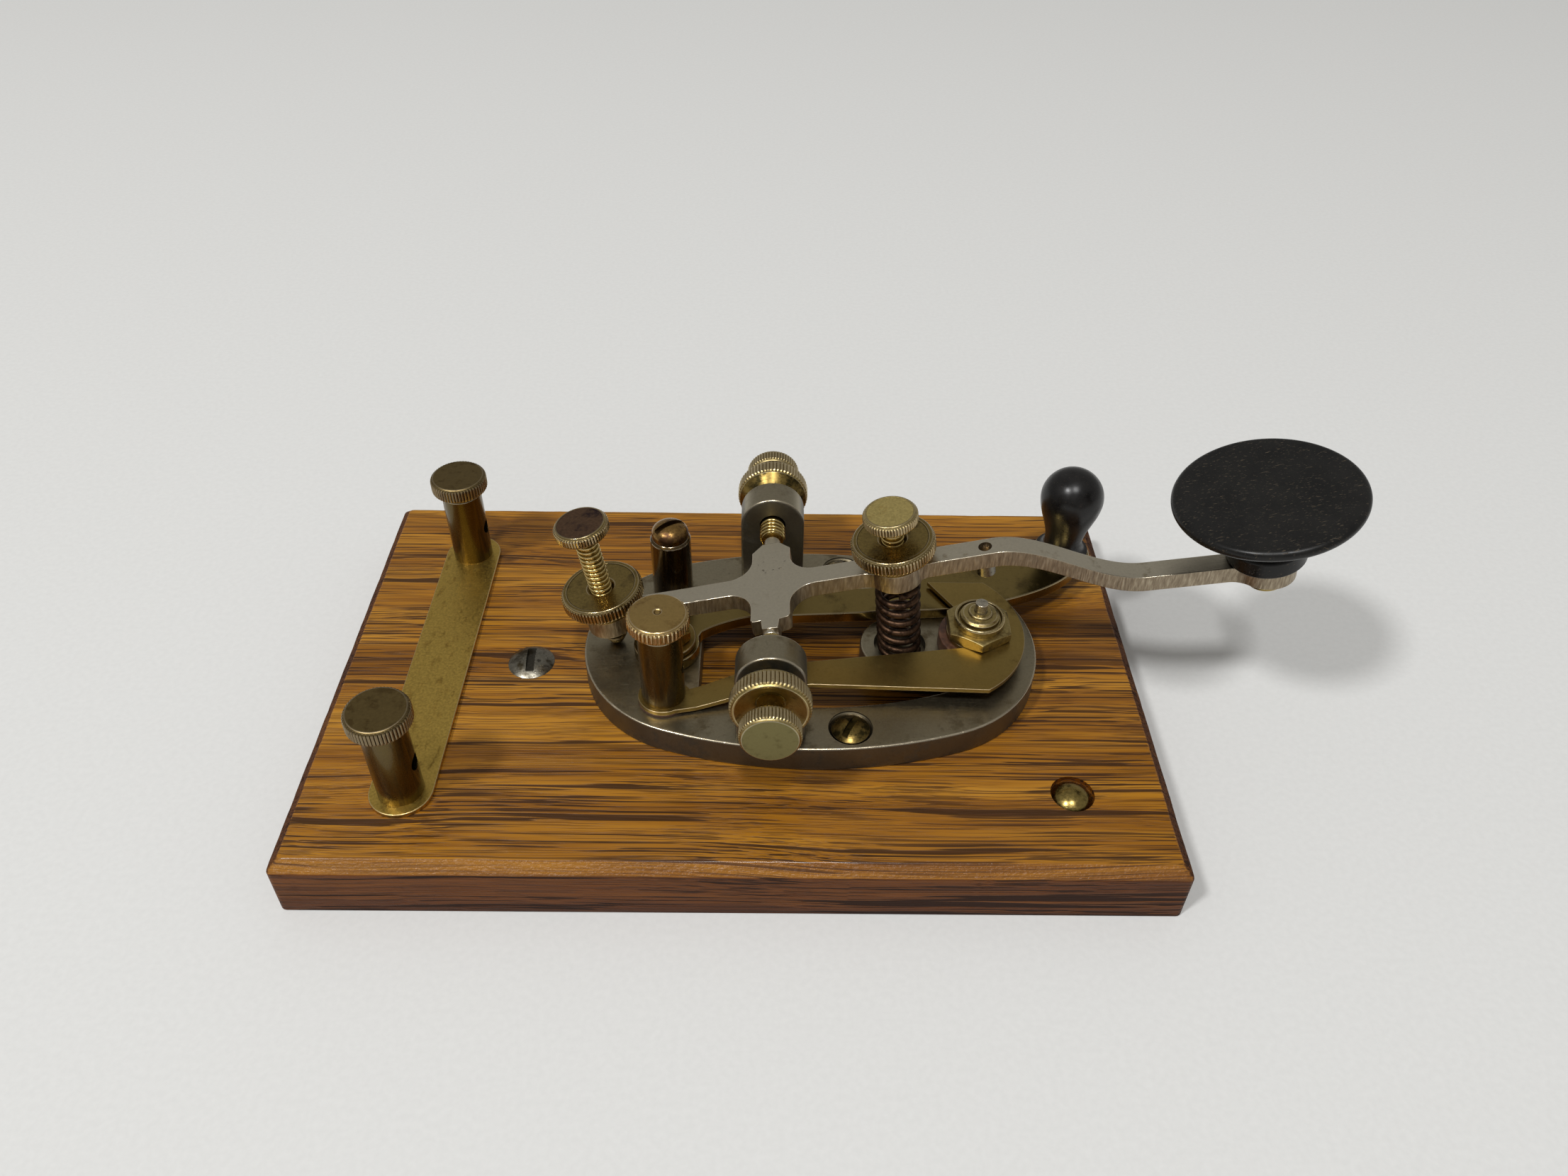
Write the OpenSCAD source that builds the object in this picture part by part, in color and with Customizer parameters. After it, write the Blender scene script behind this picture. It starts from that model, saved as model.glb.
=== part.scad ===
// Straight telegraph key on an oak board: a sprung lever over an anvil, with a circuit closer.
// X runs along the key towards the finger knob, Y to the far side, Z up from the table.
// The origin is the centre of the board's underside. All sizes are in millimetres.

/* [Board] */
// Length of the board
board_l = 152.4; // [140:0.1:180]
// Width of the board
board_w = 96.2; // [85:0.1:120]
// Thickness of the board
board_h = 12.2; // [11:0.1:20]
// Size of the bevel along the board's top edges
board_bevel = 1.9; // [0.5:0.1:4]
// Place along the board of the lever's pivot
key_x = 6.1; // [0:0.1:12]
// Place across the board of the key's centre line
key_y = -0.5; // [-5:0.1:5]

/* [Board screws] */
// Distance of the steel screw from the board's rear end
steel_screw_in = 36.3; // [33:0.1:38]
// Place across the board of the steel screw
steel_screw_y = -0.9; // [-8:0.1:8]
// Diameter of the steel screw's head
steel_screw_d = 8.9; // [7:0.1:11]
// Distance of the brass screw from the board's front end
brass_screw_in = 17.7; // [12:0.1:22]
// Distance of the brass screw from the board's near edge
brass_screw_near = 16.4; // [10:0.1:18]
// Diameter of the brass screw's head
brass_screw_d = 6.8; // [5:0.1:8]
// Depth of the brass screw's rim below the board's top
brass_screw_sink = 1.2; // [0.2:0.1:2]
// Diameter of the board screws' shanks
board_shank_d = 3.8; // [3:0.1:4.4]

/* [Line terminals] */
// Distance of the line posts from the board's rear end
line_in = 19.2; // [14:0.1:22]
// Distance of the near line post from the board's near edge
line_near_in = 15.5; // [11:0.1:22]
// Distance of the far line post from the board's far edge
line_far_in = 17.6; // [11:0.1:22]
// Width of the strap that joins the line posts
line_strap_w = 11.1; // [9:0.1:14]
// Thickness of the straps
strap_t = 0.9; // [0.5:0.1:1.5]
// Diameter of the binding posts
post_d = 7.8; // [7:0.1:9]
// Height of a line post
line_post_h = 16.4; // [15:0.1:20]
// Height of the wire hole's axis above a post's foot
wire_h = 7.4; // [6:0.1:8.5]
// Diameter of the wire hole
wire_d = 3; // [2:0.1:3.4]
// Diameter of a line thumbscrew's cap
line_cap_d = 11; // [9:0.1:13]
// Height of a line thumbscrew's cap
line_cap_h = 3.2; // [2:0.05:5]
// Diameter of the thumbscrews' and the post screws' threads
post_thread_d = 2.8; // [2.4:0.1:2.9]

/* [Frame] */
// Length of the oval frame
frame_l = 85.2; // [80:0.1:90]
// Width of the oval frame
frame_w = 52.9; // [52:0.1:58]
// Radius of the oval's two ends
frame_end_r = 23.4; // [20:0.1:24]
// Thickness of the frame
frame_t = 5.5; // [4.5:0.1:8]
// Width of the frame's ring around its opening
frame_rim = 10; // [9:0.1:12]
// Distance of the oval's middle in front of the pivot
frame_mid = 7.4; // [5:0.1:9]
// Distance of the opening's straight rear edge behind the pivot
opening_back = 13.1; // [10:0.1:13.6]
// Width of the tongue under the spring and the anvil
tongue_w = 15; // [14:0.1:18]
// Distance of the frame screws in front of the pivot
frame_screw_x = 14.1; // [11.5:0.1:18]
// Distance of the frame screws from the centre line
frame_screw_y = 21.3; // [21:0.1:21.8]
// Diameter of the frame screws' heads
frame_screw_d = 7; // [5:0.1:8]

/* [Trunnions] */
// Height of the pivot above the frame
pivot_rise = 13.7; // [13:0.1:18]
// Gap between the two uprights
upright_gap = 36.4; // [36:0.1:38]
// Thickness of an upright across the key
upright_t = 5.9; // [4:0.1:6.5]
// Width of an upright along the key
upright_w = 12.2; // [9:0.1:13]
// Gap between the tips of the trunnion screws
trunnion_gap = 27.6; // [26:0.1:30]
// Diameter of the trunnion screws' threads
trunnion_d = 4.9; // [4:0.1:6]
// Diameter of the trunnion screws' heads
trunnion_head_d = 10.4; // [7:0.1:11]
// Thickness of the trunnion screws' heads
trunnion_head_t = 3.4; // [2:0.1:5]
// Distance from an upright to the trunnion screw's head
trunnion_head_out = 9; // [7.5:0.1:12]
// Diameter of the trunnion lock nuts
trunnion_nut_d = 13.8; // [11:0.1:16]
// Thickness of a trunnion lock nut's hub
trunnion_hub_t = 2.9; // [1:0.1:3.5]
// Thickness of a trunnion lock nut's rim
trunnion_rim_t = 3.5; // [2:0.1:3.8]

/* [Lever] */
// Tilt of the lever at rest, in degrees
lever_rest = 9; // [8:0.1:10]
// Rise of the lever's bar along its own length, in degrees
lever_rise = 4; // [2:0.1:5]
// Height of the lever's bar
lever_t = 3.3; // [2.5:0.1:4]
// Width of the lever's bar
lever_w = 4.2; // [3.4:0.1:6]
// Height by which the lever's bosses stand proud of the bar
boss_proud = 0.35; // [0.2:0.05:0.8]
// Distance from the pivot back to the gap screw
tail_reach = 30.7; // [29.5:0.1:32]
// Diameter of the boss around the gap screw
tail_boss_d = 8.8; // [8:0.1:12]
// Distance from the pivot to the tension screw
spring_reach = 22.7; // [21:0.1:25]
// Diameter of the boss around the tension screw
spring_boss_d = 9.6; // [9:0.1:13]
// Distance from the pivot to the contact
contact_reach = 38.65; // [37.5:0.05:39.5]
// Depth of the contact's face below the pivot line
contact_drop = 1.5; // [1:0.1:2.5]
// Diameter of the lever's contact
contact_d = 3.4; // [2.4:0.1:4]
// Distance from the pivot to the start of the lever's drop
drop_start = 40; // [39:0.1:46]
// Distance from the pivot to the end of the lever's drop
drop_end = 67; // [60:0.1:75]
// Height of the lever's drop
drop_h = 9.65; // [7:0.05:11]
// Distance from the pivot to the finger knob
knob_reach = 88.2; // [84:0.1:95]
// Diameter of the pad under the finger knob
pad_d = 10.4; // [8:0.1:13]
// Height by which the pad stands proud of the bar
pad_proud = 0.2; // [0.1:0.1:1]
// Lean of the pad and its knob toward the pivot, from the bar
pad_tilt = 5.5; // [0:0.5:7]
// Span of the lever's cross arms
arm_span = 22; // [19:0.1:23]
// Width of the lever's cross arms
arm_w = 7.1; // [5:0.1:9]
// Diameter of the lever's pivots
pivot_d = 3; // [2:0.1:4]
// Radius of the fillets where the arms and the bosses meet the bar
lever_fillet = 4.5; // [2:0.1:5]

/* [Finger knob] */
// Diameter of the finger knob
knob_d = 31.75; // [26:0.05:36]
// Thickness of the finger knob's rim
knob_rim_t = 2.2; // [1.8:0.1:4]
// Height of the knob's rim above the pad
knob_h = 12.8; // [11:0.1:18]
// Diameter of the knob's collar
collar_d = 13.5; // [10:0.1:17]
// Height of the knob's collar
collar_h = 3.6; // [2:0.1:6]
// Diameter of the knob's waist
waist_d = 9.4; // [7:0.1:11]
// Diameter of the knob's screw
knob_screw_d = 3.5; // [2.5:0.1:4.5]

/* [Adjusting screws] */
// Diameter of the gap and tension screws' threads
adjust_d = 4.2; // [3.4:0.1:5]
// Pitch of the visible threads
thread_pitch = 1; // [0.7:0.05:1.4]
// Diameter of the gap screw's head
gap_head_d = 9.8; // [8:0.1:12]
// Thickness of the gap screw's head
gap_head_t = 2.4; // [2:0.1:4]
// Height of the gap screw's head above its boss
gap_head_rise = 17.6; // [9:0.05:20]
// Clearance of the gap screw's tip over the frame
gap_stop = 0.1; // [0.05:0.05:0.3]
// Diameter of the tension screw's head
tension_head_d = 9.7; // [8:0.1:12]
// Thickness of the tension screw's head
tension_head_t = 2.4; // [2:0.1:4]
// Height of the tension screw's head above its boss
tension_head_rise = 8.6; // [7:0.05:14]
// Diameter of the lock nuts
lock_nut_d = 15; // [12:0.1:17]
// Diameter of the lock nuts' hubs
lock_hub_d = 10; // [7:0.1:11]
// Thickness of the lock nuts' hubs
lock_hub_t = 2.1; // [1:0.05:3]
// Thickness of the lock nuts' rims
lock_rim_t = 3; // [2:0.05:3.6]

/* [Return spring] */
// Distance from the pivot to the spring's seat
seat_x = 24.3; // [23:0.1:25]
// Diameter of the spring's seat
seat_d = 9.8; // [9.4:0.1:11]
// Depth of the spring's seat
seat_depth = 2; // [1:0.1:3]
// Outer diameter of the spring
spring_od = 8.3; // [7:0.1:8.6]
// Diameter of the spring's wire
spring_wire = 1.3; // [1.1:0.05:1.7]
// Turns of the spring
spring_turns = 7.25; // [6:0.25:8]
// Diameter of the cap on top of the spring
spring_cap_d = 7.4; // [6:0.1:9]
// Thickness of the cap on top of the spring
spring_cap_t = 1; // [0.6:0.1:1.5]

/* [Anvil] */
// Thickness of the insulator under the anvil's strap
fibre_t = 2.85; // [2.8:0.05:4]
// Diameter of the insulator under the anvil's strap
fibre_d = 14.4; // [12:0.1:15]
// Height of the contact point above the strap
anvil_h = 7.05; // [6.2:0.05:7.5]
// Diameter of the contact point
anvil_point_d = 2.3; // [1.5:0.1:3]
// Diameter of the anvil's ring
anvil_ring_d = 9.4; // [7:0.1:10.5]
// Diameter of the anvil's stud
anvil_stud_d = 5; // [4:0.1:5.6]
// Width across the flats of the anvil's nut
anvil_nut_af = 11.3; // [9:0.1:12]
// Thickness of the anvil's nut
anvil_nut_t = 2.35; // [1.5:0.05:2.5]

/* [Frame posts] */
// Distance of the near frame post behind the pivot
near_post_back = 19.2; // [18:0.1:21]
// Distance of the near frame post from the centre line
near_post_y = 14.8; // [14:0.1:15.5]
// Height of the near frame post
near_post_h = 16.2; // [14:0.1:19]
// Diameter of its thumbscrew's cap
frame_cap_d = 10.8; // [9:0.1:12]
// Height of its thumbscrew's cap
frame_cap_h = 2.9; // [2:0.1:4]
// Distance of the far frame post behind the pivot
far_post_back = 19.6; // [18:0.1:22]
// Distance of the far frame post from the centre line
far_post_y = 15.3; // [14:0.1:16]
// Height of the far frame post
far_post_h = 13.3; // [11:0.1:16]
// Diameter of the screw head on the far frame post
post_screw_d = 7.1; // [5:0.1:8]
// Thickness of the insulating flange under the near frame post
bush_flange_t = 0.5; // [0.3:0.1:1.2]

/* [Circuit closer] */
// Distance of the closer's pivot behind the lever's pivot
closer_back = 19.5; // [18.5:0.1:20]
// Distance of the closer's pivot from the centre line
closer_y = 2.5; // [1:0.1:3.5]
// Thickness of the closer's blade
blade_t = 2.4; // [1.5:0.05:2.5]
// Width of the closer's blade from its pivot to the spring
blade_w = 7; // [6:0.1:7.4]
// Width of the closer's blade in front of the spring
blade_front_w = 10.6; // [8:0.1:11]
// Diameter of the blade's rear lobe
blade_lobe_d = 12.2; // [10:0.1:12.6]
// Diameter of the blade's end under the knob
blade_end_d = 11.4; // [11:0.1:14]
// Diameter of the closer's bolt
closer_bolt_d = 4.5; // [3.5:0.1:5.5]
// Thickness of the washer on the blade
closer_washer_t = 1.2; // [0.6:0.1:1.4]
// Width across the flats of the closer's nut
closer_nut_af = 8.2; // [7:0.1:9]
// Thickness of the closer's nut
closer_nut_t = 2.7; // [2:0.1:2.8]
// Diameter of the closer knob's foot
closer_foot_d = 10.4; // [9:0.1:13]
// Diameter of the closer knob's neck
closer_neck_d = 7.4; // [6:0.1:8.5]
// Diameter of the closer knob's ball
closer_ball_d = 12.2; // [10:0.1:15]
// Height of the ball's middle above the blade
closer_ball_h = 13.6; // [12:0.1:18]

/* [Hidden] */
$fn = 72;

// Clearances: of a pin or thread in its bore, of a face that turns on another, of a screw head in its pocket
fit = 0.05;
face_gap = 0.05;
pocket_gap = 0.5;
// Overshoot of a cut past the face that it opens
cut = 1;
// Chamfer on turned rims
rim_bevel = 0.4;
// Steps of a drawn curve
curve_steps = 8;
// Depth of the visible threads
thread_depth = 0.3;
// Steps of each arc of the frame's oval
oval_steps = 24;

// Heights above the table
frame_top = board_h + frame_t;
pivot_z = frame_top + pivot_rise;
line_foot_z = board_h + strap_t;
strap_low_z = frame_top + bush_flange_t;
strap_high_z = frame_top + fibre_t;
near_foot_z = strap_low_z + strap_t;
anvil_strap_top = strap_high_z + strap_t;
blade_gap = 0.1;
blade_z = frame_top + blade_gap;
blade_top = blade_z + blade_t;
seat_z = frame_top - seat_depth;

// Places on the board, from its middle
steel_screw_x = steel_screw_in - board_l / 2;
brass_screw_x = board_l / 2 - brass_screw_in;
brass_screw_y = brass_screw_near - board_w / 2;
line_x = line_in - board_l / 2;
line_near_y = line_near_in - board_w / 2;
line_far_y = board_w / 2 - line_far_in;

// Places on the key, from the point under the lever's pivot
anvil_x = contact_reach;
near_post_x = -near_post_back;
far_post_x = -far_post_back;
closer_x = -closer_back;
upright_out = upright_gap / 2 + upright_t;

// Wood screws: cone under the head, dome over it, length, slot, and room round a head in its hole
screw_cone_h = 2.2;
board_screw_l = 9.5;
board_dome_h = 1.4;
frame_dome_h = 1.2;
frame_screw_sink = 0.3;
frame_shank_d = 3.8;
frame_screw_l = frame_t + 5;
slot_w = 1.1;
slot_depth = 0.9;
head_room = 0.4;

// Turns of the slots from the board's length
steel_slot_turn = 81;
brass_slot_turn = 8;
frame_slot_turn = 62;
cap_slot_turn = 33;

// Fixing screws under the posts
post_screw_head_d = 7;
post_screw_head_t = 2.4;
line_counterbore = 5;
thread_end_gap = 0.4;
post_thread_l = wire_h - wire_d / 2 - 2 * thread_end_gap;
cap_neck_h = 0.55;
cap_neck_d = 6.4;
post_chamfer = 0.5;
far_post_dome_h = 2.8;
far_post_thread_l = 7;

// Insulation of the near frame post and of the anvil
bush_d = 6;
bush_washer_t = 0.8;
bush_washer_d = 9;
strap_end_d = 9.2;
fibre_bush_d = 7.2;
lower_washer_d = 11;
lower_washer_t = 1.2;
lower_nut_af = 8;
lower_nut_t = 3;
stud_end = 0.6;

// Closer: bolt head under the frame, curve of the blade from its pivot, and knob screw
bolt_head_d = 9;
bolt_head_t = 2.2;
bolt_end = 0.2;
closer_washer_d = 11;
closer_washer_z = blade_top + face_gap;
closer_nut_z = closer_washer_z + closer_washer_t;
closer_nut_turn = -15;
blade_route = [[0, 0], [5.2, 6.2], [14.3, 10.3], [23.6, 11], [39, 12.2], [53.2, 14.8], [63.9, 17.6],
    [73, 22.1], [78.4, 27.6]];
blade_flare = [39, 56];
blade_end = blade_route[len(blade_route) - 1];
closer_foot_h = 1;
closer_neck_h = 3;
closer_screw_d = 3.2;
closer_screw_head_d = 6.2;
closer_screw_head_h = 1.4;
closer_screw_l = 10;
ball_start = -5;

// Strap of the anvil, from the near post's axis and from the anvil's axis
strap_neck_near = [[5.7, -3.3], [11.5, -1.7]];
strap_neck_far = [[12.8, 4.3], [4.6, 1.3]];
strap_strip_near = [[-31.4, -14.4], [1.8, -15.4]];
strap_strip_far = [[-2.8, -6.5], [-26.8, -8]];
strap_arc_back = 9.65;
strap_arc_r = 18.3;
strap_disc_r = 5.8;
strap_finger = [[-3.7, 6.2], [-8.2, 13.5]];
strap_ramp_start = 6.1;
strap_ramp_l = 19;

// Lever's centre line and its bosses, in the lever's own frame: length from the pivot, height off it
lever_slope = tan(lever_rise);
drop_steps = 12;
pad_mid = lever_slope * drop_start - drop_h;
boss_half = lever_t / 2 + boss_proud;
tail_mid = -lever_slope * tail_reach;
tail_top = tail_mid + boss_half;
spring_mid = lever_slope * spring_reach;
spring_boss_top = spring_mid + boss_half;
spring_boss_low = spring_mid - boss_half;
pivot_l = 2;
cup_fit = 0.11;
rivet_d = 2.3;
boss_lip = 0.2;
fillet_y = lever_w / 2 + lever_fillet;
contact_shoulder = lever_slope * (contact_reach - contact_d / 2) - lever_t / 2 - fit;

// Knob's screw and bevel
knob_bevel = 0.5;
knob_screw_head_d = 6.6;
knob_screw_head_t = 1.8;
pad_up = lever_t / 2 + pad_proud + collar_d / 2 * sin(pad_tilt);
pad_down = (lever_t / 2 + knob_screw_head_d / 2 * sin(pad_tilt)) / cos(pad_tilt);
knob_screw_l = 9;

// Gap screw's round tip, set so that it stands just over the frame
gap_tip_r = 1.7;
gap_tip_w = (frame_top + gap_stop + gap_tip_r - pivot_z + tail_reach * sin(lever_rest)) / cos(lever_rest);

// Trunnion cups and the dish of their nuts
cup_tip = trunnion_gap / 2 + pivot_d / 4;
nut_dish_depth = 2.2;
nut_dish_land = 0.9;
nut_dish_floor_d = trunnion_d + 1.4;

// Return spring: seat, cap, and the curve between them
spring_gap = 0.1;
cap_low = spring_boss_low - face_gap - spring_cap_t;
coil_r = (spring_od - spring_wire) / 2;
coil_rings = 8;
coil_sides = 6;
coil_points = round(spring_turns * coil_rings);
coil_foot = [seat_x, 0, seat_z + spring_gap + spring_wire / 2];
coil_top_w = cap_low - spring_gap - spring_wire / 2;
coil_top = [spring_reach * cos(lever_rest) - coil_top_w * sin(lever_rest), 0,
    pivot_z + spring_reach * sin(lever_rest) + coil_top_w * cos(lever_rest)];

// Angle from rest to the closed contact
closing_lift = anvil_strap_top + anvil_h - pivot_z;
closing_arm = norm([contact_reach, contact_drop]);
closing_angle = asin(closing_lift / closing_arm) + atan2(contact_drop, contact_reach);
echo(lever_swing = lever_rest - closing_angle);

// Colours
oak = [0.55, 0.36, 0.19];
nickel = [0.66, 0.64, 0.6];
old_brass = [0.52, 0.43, 0.24];
bright_brass = [0.72, 0.58, 0.3];
dark_brass = [0.3, 0.22, 0.14];
steel = [0.62, 0.62, 0.6];
fibre = [0.36, 0.17, 0.1];
black = [0.06, 0.06, 0.06];
spring_brown = [0.24, 0.15, 0.1];

// Point on a cubic curve between two ends with the given end directions
function between(a, b, da, db, t) =
    (2 * t ^ 3 - 3 * t ^ 2 + 1) * a + (t ^ 3 - 2 * t ^ 2 + t) * da
    + (3 * t ^ 2 - 2 * t ^ 3) * b + (t ^ 3 - t ^ 2) * db;

// Points of an arc in the plane, counted from one angle to another
function arc(middle, r, from, to, steps = curve_steps) =
    [for (i = [0:steps]) let (a = from + (to - from) * i / steps) middle + r * [cos(a), sin(a)]];

// The same arc without its last point, for joining to a next one
function open_arc(middle, r, from, to, steps = curve_steps) =
    [for (i = [0:steps - 1]) let (a = from + (to - from) * i / steps) middle + r * [cos(a), sin(a)]];

// Outline of an oval of four arcs
function oval(half_l, half_w, end_r) = let (
        side_r = ((half_l - end_r) ^ 2 + half_w ^ 2 - end_r ^ 2) / (2 * (half_w - end_r)),
        meet = atan2(side_r - half_w, half_l - end_r),
        end = [half_l - end_r, 0],
        side = [0, half_w - side_r])
    concat(
        open_arc(end, end_r, -meet, meet, oval_steps),
        open_arc(side, side_r, meet, 180 - meet, oval_steps),
        open_arc(-end, end_r, 180 - meet, 180 + meet, oval_steps),
        open_arc(-side, side_r, 180 + meet, 360 - meet, oval_steps));

// Points of a shallow dome over a disc of the given radius, from its rim to its top
function dome(r, h) = let (ball = (r ^ 2 + h ^ 2) / (2 * h), rim = asin((ball - h) / ball))
    arc([0, h - ball], ball, rim, 90);

// Direction of a route at one of its points, from its neighbours
function route_way(p, i) = (p[min(i + 1, len(p) - 1)] - p[max(i - 1, 0)]) / (i > 0 && i < len(p) - 1 ? 2 : 1);

// Smooth curve through the points of a route, and the directions along it
function smooth_route(p) = [for (i = [0:len(p) - 2], k = [0:curve_steps - 1])
    between(p[i], p[i + 1], route_way(p, i), route_way(p, i + 1), k / curve_steps)];
function blade_half(x) = let (t = min(1, max(0, (x - blade_flare.x) / (blade_flare.y - blade_flare.x))))
    (blade_w + (blade_front_w - blade_w) * t * t * (3 - 2 * t)) / 2;
function beside(p, i, offset) = let (way = route_way(p, i)) p[i] + offset * [-way.y, way.x] / norm(way);

// Height of the lever's centre line at a distance from the pivot
function lever_mid(u) = u < drop_start ? lever_slope * u : u > drop_end ? pad_mid
    : between(lever_slope * drop_start, pad_mid, lever_slope * (drop_end - drop_start), 0,
        (u - drop_start) / (drop_end - drop_start));

// Fillets where the bar meets a round boss: their distance along the bar and their angle at the boss
function blend_reach(r) = sqrt((r + lever_fillet) ^ 2 - fillet_y ^ 2);
function blend_angle(r) = atan2(fillet_y, blend_reach(r));
function blend_into(x, r) =
    open_arc([x - blend_reach(r), fillet_y], lever_fillet, 270, 360 - blend_angle(r));
function blend_out_of(x, r) =
    open_arc([x + blend_reach(r), fillet_y], lever_fillet, 180 + blend_angle(r), 270);

// Ring threads from the bottom of a rod to its top
function thread_edge(r, from, to) = let (
        rings = max(1, floor((to - from) / thread_pitch)),
        step = (to - from) / rings)
    [for (i = [0:rings - 1], half = [0, 1]) [r - (1 - half) * thread_depth, from + (i + half / 2) * step]];

// Points of the spring's wire axis, with a straight stretch at each end
function coil_point(s) = let (turn = 360 * spring_turns * s, tilt = lever_rest * s)
    coil_foot + (coil_top - coil_foot) * s
    + coil_r * [cos(turn) * cos(tilt), sin(turn), cos(turn) * sin(tilt)];
function coil_way(s) = let (turn = 360 * spring_turns * s, tilt = lever_rest * s)
    [-sin(turn) * cos(tilt), cos(turn), -sin(turn) * sin(tilt)];
function coil_out(s) = let (turn = 360 * spring_turns * s, tilt = lever_rest * s)
    [cos(turn) * cos(tilt), sin(turn), cos(turn) * sin(tilt)];
coil_shares = [for (i = [0:coil_points]) i / coil_points];
coil_axis = concat(
    [coil_point(0) - spring_wire * coil_way(0)],
    [for (s = coil_shares) coil_point(s)],
    [coil_point(1) + spring_wire * coil_way(1)]);
coil_radials = concat([coil_out(0)], [for (s = coil_shares) coil_out(s)], [coil_out(1)]);
function axis_way(i) = let (step = coil_axis[min(i + 1, len(coil_axis) - 1)] - coil_axis[max(i - 1, 0)])
    step / norm(step);
coil_least_gap = min([for (i = [0:len(coil_axis) - 1], k = [i + coil_rings - 3:len(coil_axis) - 1])
    norm(coil_axis[k] - coil_axis[i])]) - spring_wire;
echo(return_spring_least_gap_to_itself = coil_least_gap);

// Places the key's own frame on the board, under the lever's pivot
module on_key() {
    translate([key_x, key_y, 0]) children();
}

// Places the lever's own frame at its resting tilt
module on_lever() {
    on_key() translate([0, 0, pivot_z]) rotate([0, -lever_rest, 0]) children();
}

// Places a trunnion's frame, whose Z runs outwards from the centre line
module on_trunnion(side) {
    on_key() translate([0, 0, pivot_z]) rotate([side * 90, 0, 0]) children();
}

module hexagon(across_flats, height) {
    cylinder(d = across_flats / cos(30), h = height, $fn = 6);
}

// Slotted countersunk screw with its rim at z = 0
module slotted_screw(head_d, dome_h, shank_d, length, slot_turn) {
    point_h = shank_d / 2;
    difference() {
        rotate_extrude() polygon(concat(
            [[0, -length], [shank_d / 6, -length], [shank_d / 2, -length + point_h]],
            [[shank_d / 2, -screw_cone_h]],
            dome(head_d / 2, dome_h)));
        translate([0, 0, dome_h]) rotate(slot_turn)
            cube([head_d + cut, slot_w, 2 * slot_depth], center = true);
    }
}

// Cut for such a screw, open above
module slotted_screw_hole(head_d, shank_d, length, open_h) {
    rotate_extrude() polygon([
        [0, -length - fit], [shank_d / 2 + fit, -length - fit], [shank_d / 2 + fit, -screw_cone_h],
        [head_d / 2 + fit, 0], [head_d / 2 + fit, open_h], [0, open_h]]);
}

// Round-headed fixing screw pointing up from its seat at z = 0
module post_screw(length) {
    translate([0, 0, -post_screw_head_t]) difference() {
        cylinder(d = post_screw_head_d, h = post_screw_head_t);
        cube([post_screw_head_d + cut, slot_w, 2 * slot_depth], center = true);
    }
    cylinder(d = post_thread_d, h = length);
}

// Binding post with a cross hole for a wire, a thread from above and one from below
module binding_post(height) {
    difference() {
        rotate_extrude() polygon([
            [0, 0], [post_d / 2, 0], [post_d / 2, height - post_chamfer],
            [post_d / 2 - post_chamfer, height], [0, height]]);
        translate([0, 0, wire_h]) rotate([0, 90, 0]) cylinder(d = wire_d, h = post_d + cut, center = true);
        translate([0, 0, wire_h]) cylinder(d = post_thread_d + 2 * fit, h = height);
        translate([0, 0, -cut]) cylinder(d = post_thread_d + 2 * fit, h = cut + post_thread_l + fit);
    }
}

// Knurled thumbscrew over a post of the given height
module thumbscrew(height, cap_d, cap_h, dome_h) {
    tip = wire_h + wire_d / 2 + thread_end_gap;
    cap_z = height + cap_neck_h;
    rotate_extrude() polygon(concat(
        [[0, tip], [post_thread_d / 2, tip], [post_thread_d / 2, height + face_gap],
            [cap_neck_d / 2, height + face_gap], [cap_neck_d / 2, cap_z],
            [cap_d / 2 - rim_bevel, cap_z], [cap_d / 2, cap_z + rim_bevel],
            [cap_d / 2, cap_z + cap_h - rim_bevel], [cap_d / 2 - rim_bevel, cap_z + cap_h]],
        [[0, cap_z + cap_h + dome_h]]));
}

// Knurled lock nut standing on its hub
module lock_nut(bore_d, nut_d, hub_d, hub_t, rim_t) {
    rotate_extrude() polygon([
        [bore_d / 2 + fit, 0], [hub_d / 2, 0], [hub_d / 2, hub_t], [nut_d / 2 - rim_bevel, hub_t],
        [nut_d / 2, hub_t + rim_bevel], [nut_d / 2, hub_t + rim_t - rim_bevel],
        [nut_d / 2 - rim_bevel, hub_t + rim_t], [bore_d / 2 + fit, hub_t + rim_t]]);
}

// Round knurled head from z = 0 up, as part of a turned outline
function head_edge(head_d, from, height) = [
    [head_d / 2 - rim_bevel, from], [head_d / 2, from + rim_bevel],
    [head_d / 2, from + height - rim_bevel], [head_d / 2 - rim_bevel, from + height], [0, from + height]];

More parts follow.
